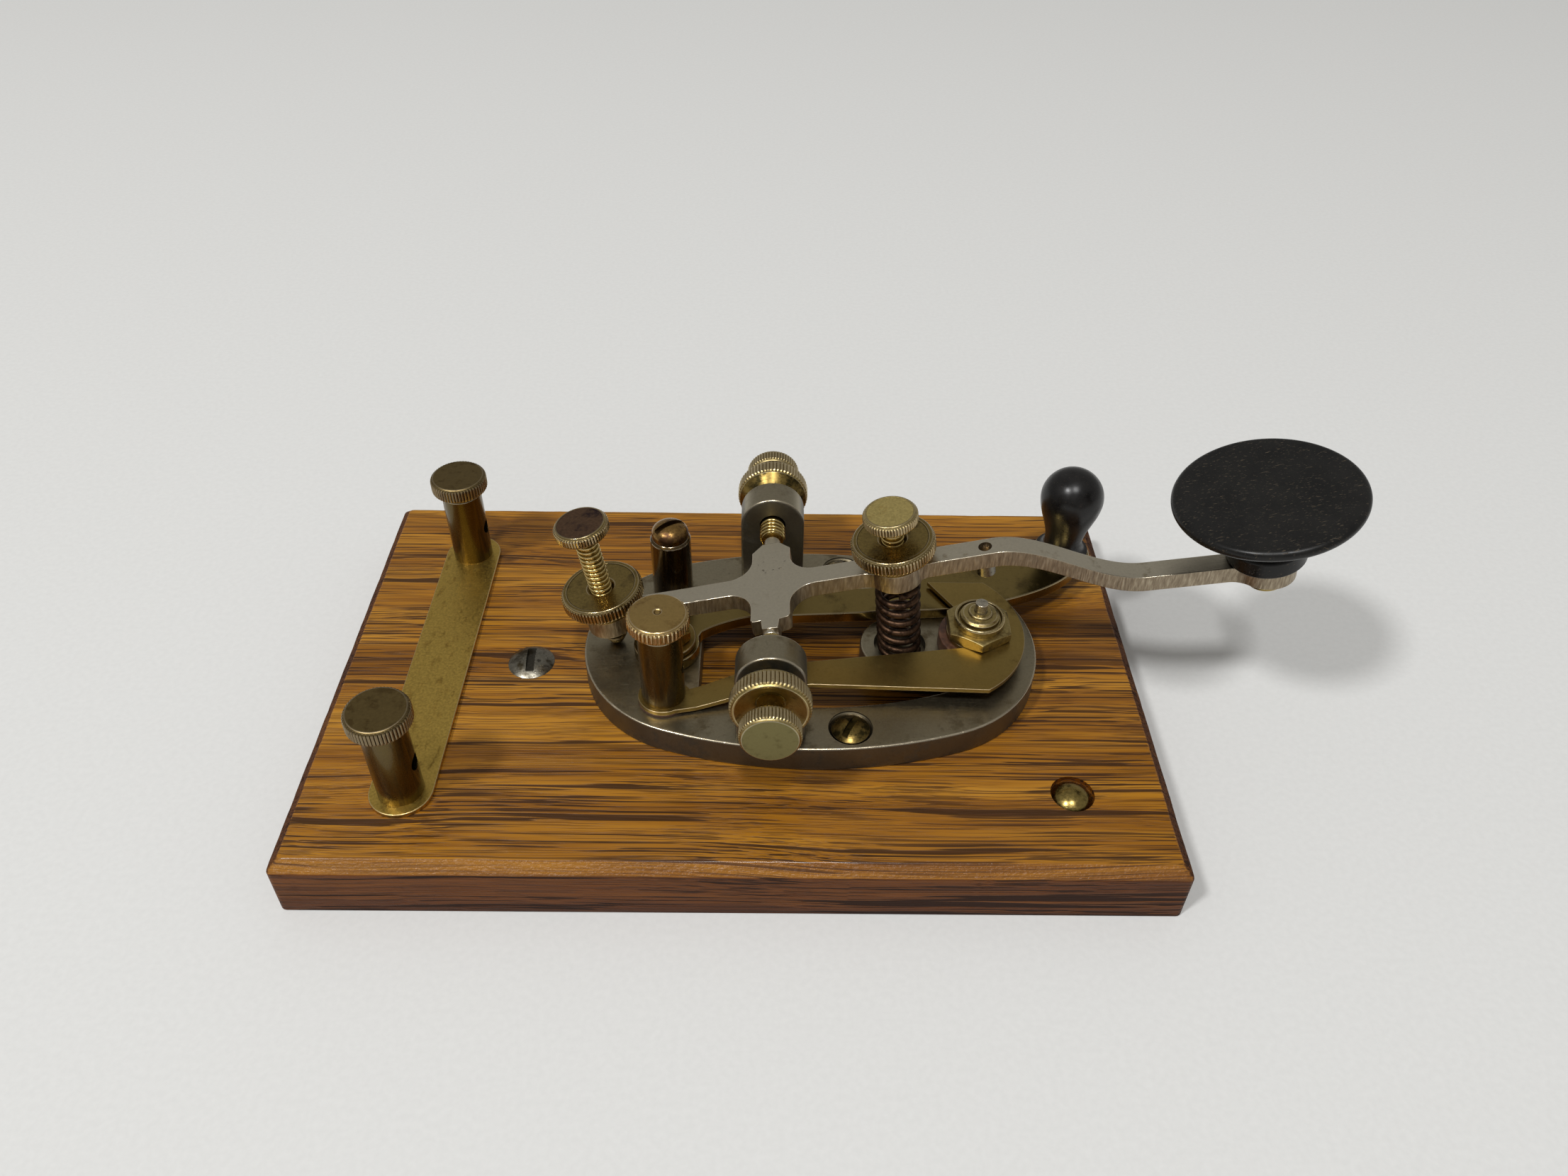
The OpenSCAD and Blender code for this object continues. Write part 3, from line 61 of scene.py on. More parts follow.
class Flow:
    """What flows out of a node, to be reckoned with like a number. An index gives its other outlets."""

    def __init__(self, socket):
        self.socket, self.tree = socket, socket.id_data

    def __getitem__(self, outlet):
        return Flow(self.socket.node.outputs[outlet])

    def __add__(self, other):
        return calc("ADD", self, other)

    def __sub__(self, other):
        return calc("SUBTRACT", self, other)

    def __rsub__(self, other):
        return calc("SUBTRACT", other, self)

    def __mul__(self, other):
        return calc("MULTIPLY", self, other)

    def __truediv__(self, other):
        return calc("DIVIDE", self, other)

    def __pow__(self, other):
        return calc("POWER", self, other)

    def __abs__(self):
        return calc("ABSOLUTE", self)


def lay(tree, kind, feeds=None, **settings):
    """Lays a node in a tree, with its settings and what feeds its sockets."""
    made = tree.nodes.new(kind)
    for name, value in settings.items():
        setattr(made, name, value)
    for socket, value in (feeds or {}).items():
        if isinstance(value, Flow):
            tree.links.new(value.socket, made.inputs[socket])
        else:
            made.inputs[socket].default_value = value
    return Flow(made.outputs[0]) if made.outputs else made


def calc(operation, first, second=0.0, third=0.5):
    tree = first.tree if isinstance(first, Flow) else second.tree
    return lay(tree, "ShaderNodeMath", {0: first, 1: second, 2: third}, operation=operation)


def as_way(**parts):
    tree = next(iter(parts.values())).tree
    return lay(tree, "ShaderNodeCombineXYZ", parts)


def mixed(share, first, second, way="MIX"):
    feeds = {0: share, 6: first, 7: second}
    return lay(first.tree, "ShaderNodeMix", feeds, data_type="RGBA", blend_type=way)[2]


def between(value, low, high, to_low=0.0, to_high=1.0):
    """Share of the way from one value to another, with soft ends."""
    feeds = {"Value": value, "From Min": low, "From Max": high, "To Min": to_low, "To Max": to_high}
    return lay(value.tree, "ShaderNodeMapRange", feeds, interpolation_type="SMOOTHSTEP")


def spot_on(tree):
    """Where on the piece a point of its surface is."""
    return lay(tree, "ShaderNodeTexCoord")["Object"]


def way_out(tree):
    """Which way the surface looks, in X, Y and Z."""
    return lay(tree, "ShaderNodeSeparateXYZ", {0: lay(tree, "ShaderNodeNewGeometry")["Normal"]})


def cloud(at, scale, detail=3.0, rough=0.55):
    feeds = {"Vector": at, "Scale": scale, "Detail": detail, "Roughness": rough}
    return lay(at.tree, "ShaderNodeTexNoise", feeds)


def stretched(at, scale, turn=(0.0, 0.0, 0.0)):
    feeds = {"Vector": at, "Scale": scale, "Rotation": [math.radians(a) for a in turn]}
    return lay(at.tree, "ShaderNodeMapping", feeds)


def streaks(at, scale, detail=3.0, rough=0.55, turn=(0.0, 0.0, 0.0)):
    return cloud(stretched(at, scale, turn), 1.0, detail, rough)


def ramped(value, *stops):
    """Colours a value by stops, each with its place and its red, green and blue."""
    made = lay(value.tree, "ShaderNodeValToRGB", {0: value})
    steps = made.socket.node.color_ramp.elements
    while len(steps) < len(stops):
        steps.new(1.0)
    for step, (place, *tint) in zip(steps, stops):
        step.position, step.color = place, colour(*tint)
    return made


def new_finish(name, metallic, coat=0.0, coat_rough=0.1, specular=0.5):
    finish = bpy.data.materials.new(name)
    finish.use_nodes = True
    shader = finish.node_tree.nodes["Principled BSDF"]
    for socket, value in (("Metallic", metallic), ("Coat Weight", coat), ("Coat Roughness", coat_rough),
            ("Specular IOR Level", specular)):
        shader.inputs[socket].default_value = value
    return finish, finish.node_tree


def dress(tint, rough, height, depth, strength=0.5, **more):
    """Feeds a finish's colour, roughness, relief and whatever more it has to its shader."""
    tree = tint.tree
    relief = lay(tree, "ShaderNodeBump", {"Height": height, "Distance": depth, "Strength": strength})
    for socket, value in {"Base Color": tint, "Roughness": rough, "Normal": relief, **more}.items():
        tree.links.new(value.socket, tree.nodes["Principled BSDF"].inputs[socket])


varnished_oak, tree = new_finish("varnished_oak", 0.0, coat_rough=0.16, specular=0.22)
grain_at = spot_on(tree)
sway = calc("MULTIPLY_ADD", streaks(grain_at, (9, 30, 30), 2.0), 0.007)
grain_at = lay(tree, "ShaderNodeVectorMath", {0: grain_at, 1: as_way(Y=sway, Z=sway)}, operation="ADD")
bands = streaks(grain_at, (5, 150, 150), 4.0, 0.65)
wood = ramped(bands, (0.30, 104, 64, 15), (0.45, 144, 93, 25), (0.58, 170, 116, 34), (0.74, 194, 139, 50))
pore_field = between(streaks(grain_at, (7, 90, 90)), 0.38, 0.56, 0.35, 1.0)
pores = between(streaks(grain_at, (22, 2500, 2500), 2.5, 0.5), 0.54, 0.58) * pore_field
pores = calc("MAXIMUM", pores, between(streaks(grain_at, (13, 620, 620), 2.5, 0.5), 0.61, 0.645))
ticks = between(streaks(grain_at, (45, 4400, 4400), 2.0), 0.5, 0.6)
wood = mixed(pores * 0.92, wood, colour(50, 28, 8))
wood = mixed(ticks * 0.55, wood, colour(82, 48, 18))
looks = way_out(tree)
flank = between(looks[2], 0.25, 0.55, 1.0, 0.0)
wood = mixed(flank, wood, mixed(1.0, wood, colour(166, 138, 76), "MULTIPLY"))
broken = between(looks[2], 0.8, 0.97, 1.0, 0.0) - flank
wood = mixed(broken, wood, mixed(0.25, wood, colour(128, 78, 38)))
end_edge = broken * between(abs(looks[0]), 0.3, 0.6)
wood = mixed(end_edge, wood, mixed(1.0, wood, colour(150, 130, 112), "MULTIPLY"))
varnish = calc("MULTIPLY_ADD", pores, 0.22, 0.3) + flank * 0.15 + end_edge * 0.5
shine = (between(looks[2], 0.25, 0.55, 0.0, 0.12) + broken * 0.3) * (1.0 - end_edge)
plane_marks = cloud(stretched(grain_at, (1, 1.6, 1.6)), 1000.0, 2.0)
hollow = pores + ticks * 0.4 + plane_marks * (flank + broken * 8.0)
dress(wood, varnish, hollow * -1.0, 0.00012, **{"Coat Weight": shine})


def eased(path, ease):
    """Rounds the corners of a section drawn from the bottom up, and marks where hands and rags wear it
    bright (1, outer corners) or leave it dark (-1, inner corners). Slight turns stay as they are."""
    slight, steps = 0.26, 4
    points = [Vector(p) for p in path]
    rounded = [(points[0].x, points[0].y, 0.0)]
    for before, here, after in zip(points, points[1:], points[2:]):
        first, second = here - before, after - here
        turn = first.to_2d().normalized().cross(second.to_2d().normalized())
        if abs(turn) < slight or not ease:
            rounded.append((here.x, here.y, 0.0))
            continue
        cut = min(ease, 0.45 * first.length, 0.45 * second.length)
        start, end = here - first.normalized() * cut, here + second.normalized() * cut
        for step in range(steps + 1):
            t = step / steps
            place = start * (1 - t) ** 2 + here * (2 * t * (1 - t)) + end * t ** 2
            rounded.append((place.x, place.y, math.copysign(1.0, turn) if 0 < step < steps else 0.0))
    return rounded + [(points[-1].x, points[-1].y, 0.0)]


def inset(outline, depth):
    """Moves a closed outline inwards, to the left of its way round."""
    moved_in = []
    for k, here in enumerate(outline):
        here, before, after = Vector(here), Vector(outline[k - 1]), Vector(outline[(k + 1) % len(outline)])
        first, second = (here - before).normalized(), (after - here).normalized()
        left = Vector((-first.y - second.y, first.x + second.x)).normalized()
        moved_in.append(here + left * (depth / max(0.5, left.dot(Vector((-first.y, first.x))))))
    return moved_in


def ringed(shape, spots, worn):
    """A ring of corners in a shape, marked with how they are worn."""
    wear = shape.verts.layers.float.get("edge") or shape.verts.layers.float.new("edge")
    ring = [shape.verts.new(spot) for spot in spots]
    for corner in ring:
        corner[wear] = worn
    return ring


def skinned(shape, rings):
    """Closes the wall from ring to ring. A ring may be one corner, at a point."""
    for low, high in zip(rings, rings[1:]):
        for k in range(max(len(low), len(high))):
            around = [low[k - 1], low[k]] if len(low) > 1 else [low[0]]
            around += [high[k], high[k - 1]] if len(high) > 1 else [high[0]]
            if len(around) > 2:
                shape.faces.new(around)


def plate(outlines, section, ease):
    """A flat piece from its outline, with holes as outlines that run the other way round. The section
    gives how far out from the outline the wall stands (0 or less) and its height, from the bottom up."""
    shape, caps = bmesh.new(), ([], [])
    for outline in outlines:
        rings = []
        for out, height, worn in eased(section, ease):
            loop = outline(-out) if callable(outline) else inset(outline, -out)
            rings.append(ringed(shape, [(p.x, p.y, height) for p in loop], worn))
        skinned(shape, rings)
        caps[0].append(rings[0])
        caps[1].append(rings[-1])
    for loops in caps:
        if len(loops) == 1:
            lid = shape.faces.new(loops[0])
            lid.normal_update()
            bmesh.ops.triangulate(shape, faces=[lid])
        else:
            rims = [shape.edges.get((ring[k - 1], ring[k])) for ring in loops for k in range(len(ring))]
            bmesh.ops.triangle_fill(shape, use_beauty=True, use_dissolve=False, edges=rims)
    bmesh.ops.recalc_face_normals(shape, faces=shape.faces)
    return shape


def turned(path, ease=0.2, steps=72):
    """A piece turned on a lathe, from its half section drawn from the bottom up."""
    shape, rings = bmesh.new(), []
    turns = [2 * math.pi * k / steps for k in range(steps)]
    for r, z, worn in eased(path, ease):
        on_axis = r < 1e-6
        spots = [(0, 0, z)] if on_axis else [(r * math.cos(a), r * math.sin(a), z) for a in turns]
        rings.append(ringed(shape, spots, worn))
    bored = len(rings[0]) > 1
    skinned(shape, rings + rings[:1] if bored else rings)
    bmesh.ops.recalc_face_normals(shape, faces=shape.faces)
    return shape


def countersunk(low, cone, r, sink, top):
    """What a countersunk screw's hole takes away, from its bottom to just over the surface."""
    return turned([(0, low), (2, low), (2, cone), (r, sink), (r, top + 1), (0, top + 1)], 0.0, 48)


def shift(x=0.0, y=0.0, z=0.0):
    return Matrix.Translation((x, y, z))


def moved(shape, at):
    shape.transform(at)
    return shape


def as_mesh(name, shape):
    mesh = bpy.data.meshes.new(name)
    shape.to_mesh(mesh)
    shape.free()
    return mesh


def stood(name, data):
    """Stands something new in the scene."""
    thing = bpy.data.objects.new(name, data)
    bpy.context.scene.collection.objects.link(thing)
    return thing


def joined(first, *others):
    """Puts separate shells into one shape."""
    for other in others:
        shell = as_mesh("shell", other)
        first.from_mesh(shell)
        bpy.data.meshes.remove(shell)
    return first


def outcome(piece):
    """The mesh that a piece's modifiers make of it."""
    return bpy.data.meshes.new_from_object(piece.evaluated_get(bpy.context.evaluated_depsgraph_get()))


def worked(shape, tool, operation="DIFFERENCE", soften=0.0):
    """Cuts a shape with a tool, or joins it to one, and breaks the new edges."""
    pair = [stood("blank", as_mesh("blank", part)) for part in (shape, tool)]
    cut = pair[0].modifiers.new("cut", "BOOLEAN")
    cut.operation, cut.solver, cut.object = operation, "MANIFOLD", pair[1]
    if soften:
        edge = pair[0].modifiers.new("edge", "BEVEL")
        edge.width, edge.segments, edge.limit_method = soften, 2, "ANGLE"
        edge.angle_limit = math.radians(40)
    done = outcome(pair[0])
    made = bmesh.new()
    made.from_mesh(done)
    for part in pair:
        mesh = part.data
        bpy.data.objects.remove(part)
        bpy.data.meshes.remove(mesh)
    bpy.data.meshes.remove(done)
    return made


def set_in_place(name, shape, at, finish, body, node, slot, *growths):
    """Turns a shape into a finished piece on its body: grows what repeats on it, smooths its shading,
    and moves its mesh to its place."""
    mesh = as_mesh(name, shape)
    mesh.polygons.foreach_set("use_smooth", [True] * len(mesh.polygons))
    mesh.set_sharp_from_angle(angle=math.radians(38))
    mesh.materials.append(finish)
    piece = stood(name, mesh)
    for grown, sizes in growths:
        step = piece.modifiers.new(grown.name, "NODES")
        step.node_group = grown
        for socket in grown.interface.items_tree:
            if socket.in_out == "INPUT" and socket.name in sizes:
                step[socket.identifier] = sizes[socket.name]
    piece.modifiers.new("shading", "WEIGHTED_NORMAL").keep_sharp = True
    done = outcome(piece)
    piece.modifiers.clear()
    piece.data = done
    bpy.data.meshes.remove(mesh)
    done.name = name
    done.transform(Matrix.Scale(MM, 4) @ at)
    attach(piece, body)
    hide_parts(node)
    return piece


def rounded_board(half_l, half_w, corner):
    """Outline of the board with its corners just taken off, in short steps along the sides."""
    end_steps, side_steps = 60, 96
    ends = [Vector(p) for p in ((half_l, -half_w), (half_l, half_w), (-half_l, half_w), (-half_l, -half_w))]
    outline = []
    for k, (x, y) in enumerate(ends):
        middle = Vector((x - math.copysign(corner, x), y - math.copysign(corner, y)))
        for step in range(5):
            a = math.radians(-90 + 90 * k + 22.5 * step)
            outline.append(middle + corner * Vector((math.cos(a), math.sin(a))))
        side, start = ends[(k + 1) % 4] - ends[k], outline[-1]
        count = end_steps if k % 2 == 0 else side_steps
        run = side.length - 2 * corner
        outline += [start + side.normalized() * (run * i / count) for i in range(1, count)]
    return outline


board = plate([lambda depth: rounded_board(board_l / 2 - depth, board_w / 2 - depth, 1.0)], [
    (-2.0, 0.0), (0.0, 0.0), (0.0, board_h - board_bevel), (-board_bevel, board_h),
    (-board_bevel - 2.0, board_h)], 0.35)
for corner in board.verts:
    in_x, in_y = board_l / 2 - abs(corner.co.x), board_w / 2 - abs(corner.co.y)
    if corner.co.z > board_h - board_bevel - 0.8 and min(in_x, in_y) < board_bevel + 0.6:
        sweep = 0.16 * noise.noise(corner.co * 0.12) + 0.07 * noise.noise(corner.co * 0.6)
        corner.co.x -= math.copysign(abs(sweep), corner.co.x)
        corner.co.y -= math.copysign(abs(sweep), corner.co.y)
brass_screw_z = board_h - brass_screw_sink
holes = moved(countersunk(board_h - 9, brass_screw_z - 2.4, brass_screw_d / 2 + 0.4, brass_screw_z, board_h),
    shift(*brass_screw_at))
for x, y in line_posts_at.values():
    hole = turned([(0, -1), (pocket_r, -1), (pocket_r, pocket_h), (1.6, pocket_h), (1.6, board_h + 1),
        (0, board_h + 1)], 0.0, 48)
    joined(holes, moved(hole, shift(x, y)))
board = worked(board, holes)
set_in_place("oak_board", board, Matrix.Identity(4), varnished_oak, "base", "wood_base", "oak")

# The terminal strap: a bar of brass sheet with round ends along the board's left edge, blanked out and
# left bright, now pitted and scratched. It joins the feet of the two line posts.
strap_w, strap_t = 11.1, 0.9


def new_group(name, kind, inlets, outlets):
    """An empty group of nodes, with the kind of each inlet and outlet by its name."""
    group = bpy.data.node_groups.new(name, kind)
    for way, sockets in (("INPUT", inlets), ("OUTPUT", outlets)):
        for word, sort in sockets.items():
            group.interface.new_socket(name=word, in_out=way, socket_type="NodeSocket" + sort)
    return group


def scratches(at, scale, detail, low, high, turns):
    """Fine scratches that cross one another at the given turns."""
    lines = 0.0
    for turn in turns:
        lines = between(streaks(at, scale, detail, turn=turn), low, high) + lines
    return lines


# What every handled metal here shows: patches of tarnish, fine mottling, scratches, pits, bright edges
# where it is touched and dark corners where it isn't.
usual_wear = {"Share": 0.4, "Patch": 300.0, "Stretch": (1, 1, 1), "Sheen": 0.3, "Scratch": 0.5, "Pits": 0.5,
    "Bright": 0.8, "Mottle": 0.3}
handled = new_group("handled_metal", "ShaderNodeTree", {
    "Metal": "Color", "Tarnish": "Color", **dict.fromkeys(usual_wear, "Float"), "Stretch": "Vector"},
    {"Colour": "Color", "Roughness": "Float", "Relief": "Float"})
given = lay(handled, "NodeGroupInput")
metal_at = spot_on(handled)
patch_at = lay(handled, "ShaderNodeVectorMath", {0: metal_at, 1: given["Stretch"]}, operation="MULTIPLY")
low = calc("MULTIPLY_ADD", given["Share"], -0.34, 0.66)
stain = between(cloud(patch_at, given["Patch"], 6.0, 0.62), low, low + 0.16)
mottle = cloud(metal_at, 2300.0)
lines = scratches(metal_at, (170, 5200, 170), 1.0, 0.64, 0.71, ((0, 0, 24), (0, 0, -38), (12, 0, 82)))
lines = lines * given["Scratch"]
pitted = between(cloud(metal_at, 900.0, 4.0, 0.6), 0.62, 0.69) * given["Pits"]
edge = lay(handled, "ShaderNodeAttribute", attribute_name="edge")["Fac"]
bright = calc("MAXIMUM", edge) * given["Bright"]
grime = calc("MAXIMUM", edge * -1.0)
dark = mixed(1.0, given["Tarnish"], colour(110, 105, 100), "MULTIPLY")
skin = mixed(stain, given["Metal"], given["Tarnish"])
skin = mixed(given["Mottle"], skin, mixed(1.0, skin, between(mottle, 0.2, 0.75), "MULTIPLY"))
skin = mixed(pitted * 0.8, skin, dark)
skin = mixed(lines * 0.35, skin, given["Metal"])
skin = mixed(bright, skin, mixed(0.3, given["Metal"], colour(255, 240, 215)))
skin = mixed(grime * 0.75, skin, dark)
rough = given["Sheen"] + stain * 0.18 + (mottle - 0.5) * given["Mottle"] + grime * 0.2 - bright * 0.08
relief = mottle * (given["Mottle"] * 0.7) - lines * 0.35 - pitted
lay(handled, "NodeGroupOutput", {"Colour": skin, "Roughness": calc("MAXIMUM", rough, 0.1), "Relief": relief})


def worn_metal(tree, metal, tarnish, **wear):
    feeds = {"Metal": colour(*metal), "Tarnish": colour(*tarnish), **usual_wear, **wear}
    return lay(tree, "ShaderNodeGroup", feeds, node_tree=handled)


def metal_finish(name, metal, tarnish, lacquer=0.0, depth=0.00003, **wear):
    finish, tree = new_finish(name, 1.0, lacquer, 0.08)
    worn = worn_metal(tree, metal, tarnish, **wear)
    dress(worn["Colour"], worn["Roughness"], worn["Relief"], depth)
    return finish


def arc(middle, r, start, end, steps):
    """Points of an arc, from one angle to another."""
    turns = [math.radians(start + (end - start) * k / steps) for k in range(steps + 1)]
    return [Vector((middle[0] + r * math.cos(a), middle[1] + r * math.sin(a))) for a in turns]


def sheet_section(low, high, ease_in):
    return [(-ease_in, low), (0.0, low), (0.0, high), (-ease_in, high)]


strap_brass = metal_finish("strap_brass", (212, 178, 90), (160, 130, 62), Patch=620.0, Stretch=(1, 0.4, 1),
    Sheen=0.36, Scratch=0.8, Pits=0.15)
strap = arc(line_posts_at["near"], strap_w / 2, 180, 360, 24)
strap += arc(line_posts_at["far"], strap_w / 2, 0, 180, 24)
strap = plate([strap], sheet_section(0.0, strap_t, 0.8), 0.22)
set_in_place("terminal_strap_plate", strap, shift(z=board_h), strap_brass,
    "base", "terminal_strap", "bright_brass")

# The line posts: two brass columns turned from bar, lacquered brown, each drilled across for the wire
# and held by a screw from below, whose slotted head sits in a pocket under the board.
post_d, line_post_h, wire_d, wire_h, post_chamfer, screw_grip = 7.8, 16.4, 3.0, 7.4, 0.5, 5.1
post_lacquer = metal_finish("post_lacquer", (100, 84, 46), (66, 52, 28), 0.25, Share=0.5, Patch=420.0,
    Stretch=(1, 1, 0.16), Sheen=0.26, Scratch=0.3, Pits=0.1, Bright=0.9, Mottle=0.1)
screw_brass = metal_finish("screw_brass", (164, 142, 82), (106, 88, 50), Share=0.35, Patch=380.0, Sheen=0.24)


def spun(axis, angle):
    return Matrix.Rotation(math.radians(angle), 4, axis)


def sleeve(bore, r, low, high, ease=0.0, steps=48):
    """A plain round piece, solid where its bore is 0."""
    return turned([(bore, low), (r, low), (r, high), (bore, high)], ease, steps)


def column(height):
    r, cut = post_d / 2, post_chamfer
    return turned([(0, 0), (r, 0), (r, height - cut), (r - cut, height), (0, height)], 0.16, 96)


def drilled_post(height):
    drill = moved(sleeve(0, wire_d / 2, -6, 6, steps=40), shift(z=wire_h) @ spun("Y", 90))
    return worked(column(height), drill, soften=0.12)


def slotted(head, slot_w, slot_depth, top, turn):
    """Cuts a screwdriver slot across the top of a head, and darkens it."""
    saw_l, near = 30, 0.01
    saw = bmesh.new()
    bmesh.ops.create_cube(saw, size=1.0)
    saw.transform(shift(z=top) @ spun("Z", turn) @ Matrix.Diagonal((saw_l, slot_w, 2 * slot_depth, 1.0)))
    head = worked(head, saw, soften=0.07)
    wear = head.verts.layers.float.get("edge") or head.verts.layers.float.new("edge")
    across = Vector((-math.sin(math.radians(turn)), math.cos(math.radians(turn))))
    for corner in head.verts:
        if abs(corner.co.xy.dot(across)) < slot_w / 2 + near and abs(corner.co.z - top) < slot_depth + near:
            corner[wear] = -1.0
    return head


def screw_from_below(length):
    low = -2.4
    head = turned([(0, low), (3.5, low), (3.5, 0), (1.4, 0), (1.4, length), (0, length)], 0.25, 48)
    return slotted(head, 1.1, 0.9, low, 0)


line_foot = board_h + strap_t
for side, (x, y) in line_posts_at.items():
    set_in_place("line_post_%s_column" % side, drilled_post(line_post_h), shift(x, y, line_foot),
        post_lacquer, "base", "line_post_" + side, "dark_brass")
under = [moved(screw_from_below(line_foot - pocket_h + screw_grip), shift(x, y, pocket_h))
    for x, y in line_posts_at.values()]
set_in_place("line_post_fixing_screws", joined(*under), Matrix.Identity(4), screw_brass,
    "base", "line_post_screws", "bright_brass")

# The thumbscrews on the line posts: brass caps with a straight knurl rolled round the rim, dark with
# age, on a short neck and a thread that goes down into the post to clamp the wire.
line_cap_r, line_cap_h, cap_neck_r, cap_neck_h = 5.5, 3.2, 3.2, 0.55
cap_patina = metal_finish("cap_patina", (118, 100, 62), (88, 72, 42), Share=0.45, Patch=500.0, Sheen=0.4,
    Scratch=0.7, Pits=0.1, Bright=0.4, Mottle=0.15)


def new_growth(name, *sizes, **counts):
    """A group of nodes that grows something on a piece, from the piece, the sizes and the finish."""
    inlets = {"Piece": "Geometry", **counts, **dict.fromkeys(sizes, "Float"), "Finish": "Material"}
    return lay(new_group(name, "GeometryNodeTree", inlets, {"Piece": "Geometry"}), "NodeGroupInput")


def place_in(tree):
    return lay(tree, "ShaderNodeSeparateXYZ", {0: lay(tree, "GeometryNodeInputPosition")})


def marked(growth, worn):
    """Marks where a growth is worn bright or left dark."""
    feeds = {"Geometry": growth, "Name": "edge", "Value": worn}
    return lay(growth.tree, "GeometryNodeStoreNamedAttribute", feeds, data_type="FLOAT", domain="POINT")


def added(growth, given, lift):
    """Lifts a growth to its height and adds it to the piece."""
    growth = lay(growth.tree, "GeometryNodeTransform", {"Geometry": growth, "Translation": as_way(Z=lift)})
    both = lay(growth.tree, "GeometryNodeJoinGeometry", {0: given["Piece"]})
    growth.tree.links.new(growth.socket, both.socket.node.inputs[0])
    return both


def made_real(growth, given):
    """Ends a group: makes the growth real, gives it its finish and hands back the group."""
    tree = growth.tree
    real = lay(tree, "GeometryNodeRealizeInstances", {0: growth})
    lay(tree, "NodeGroupOutput", {
        0: lay(tree, "GeometryNodeSetMaterial", {"Geometry": real, "Material": given["Finish"]})})
    return tree


# A straight knurl: rounded ridges set round a rim, crests bright, roots dark, ends run out in a curve.
given = new_growth("straight_knurl", "Rim", "Ridge", "Length", "Middle", Ridges="Int")
knurl = given.tree
ridge = lay(knurl, "GeometryNodeMeshCylinder", {
    "Vertices": 8, "Side Segments": 10, "Radius": given["Ridge"], "Depth": given["Length"]})["Mesh"]
place = place_in(knurl)
run_out = (abs(place[2]) / (given["Length"] * 0.5)) ** 8.0 * (given["Ridge"] * -0.9)
ridge = lay(knurl, "GeometryNodeSetPosition", {"Geometry": ridge, "Offset": as_way(X=run_out)})
on_crest = calc("GREATER_THAN", place[0], given["Ridge"] * 0.5)
ridge = marked(ridge, calc("MULTIPLY_ADD", on_crest, 1.5, -0.5))
rim = lay(knurl, "GeometryNodeMeshCircle", {"Vertices": given["Ridges"], "Radius": given["Rim"]})
spread = lay(knurl, "GeometryNodeInputIndex") / given["Ridges"] * (2 * math.pi)
facing_out = lay(knurl, "FunctionNodeEulerToRotation", {0: as_way(Z=spread)})
ridges = lay(knurl, "GeometryNodeInstanceOnPoints", {
    "Points": rim, "Instance": ridge, "Rotation": facing_out})
made_real(added(ridges, given, given["Middle"]), given)


def knurl_on(finish, radius, low, high, count, ridge):
    """A knurl whose crests just reach the given radius."""
    return knurl, {"Ridges": count, "Rim": radius - ridge, "Ridge": ridge, "Length": high - low,
        "Middle": (low + high) / 2, "Finish": finish}


def thumbscrew(r, height, stem, ease_low, ease_high, crown):
    """A cap on its neck and thread. The crown's points, from the rim inwards, count from the cap's top."""
    low, high, stem_r, clear = cap_neck_h, cap_neck_h + height, 1.35, 0.05
    return turned([(0, -stem), (stem_r, -stem), (stem_r, clear), (cap_neck_r, clear), (cap_neck_r, low),
        (r - 0.5, low), (r - 0.3, low + ease_low), (r - 0.3, high - ease_high), (r - 0.6, high)]
        + [(x, high + z) for x, z in crown], 0.14, 96)


cap_top = cap_neck_h + line_cap_h
for side, (x, y) in line_posts_at.items():
    cap = thumbscrew(line_cap_r, line_cap_h, 7.0, 0.2, 0.25, [(0, 0)])
    set_in_place("line_cap_" + side, cap, shift(x, y, line_foot + line_post_h), cap_patina,
        "line_thumbscrew_%s_body" % side, "line_thumbscrew_" + side, "dark_brass",
        knurl_on(cap_patina, line_cap_r, cap_neck_h + 0.15, cap_top - 0.2, 56, 0.3))

# The two board screws: countersunk wood screws with domed heads. The slotted steel one stands level with
# the board between the strap and the key. The brass one is sunk near the front right corner, and its slot
# is so filled that none shows.
steel_screw_at, steel_screw_d = (-39.9, -0.9), 8.9
screw_steel = metal_finish("screw_steel", (140, 135, 122), (72, 64, 48), Share=0.45, Pits=0.8)


def domed_screw(head_d, dome, turn, slot_w=1.1):
    ball = ((head_d / 2) ** 2 + dome ** 2) / (2 * dome)
    rim = math.degrees(math.asin((ball - dome) / ball))
    crown = [tuple(p) for p in arc((0, dome - ball), ball, rim, 90, 10)]
    crown[-1] = (0, dome)
    head = turned([(0, -9.5), (0.7, -9.5), (1.9, -7.6), (1.9, -2.2), (head_d / 2, 0)] + crown[1:], 0.12, 64)
    return slotted(head, slot_w, 0.6, dome, turn) if slot_w else head


set_in_place("steel_wood_screw", domed_screw(steel_screw_d, 1.4, 93, 1.5), shift(*steel_screw_at, board_h),
    screw_steel, "base", "board_screw_steel", "steel")
set_in_place("brass_wood_screw", domed_screw(brass_screw_d + 0.5, 2.0, 0, 0),
    shift(*brass_screw_at, brass_screw_z), screw_brass, "base", "board_screw_brass", "bright_brass")

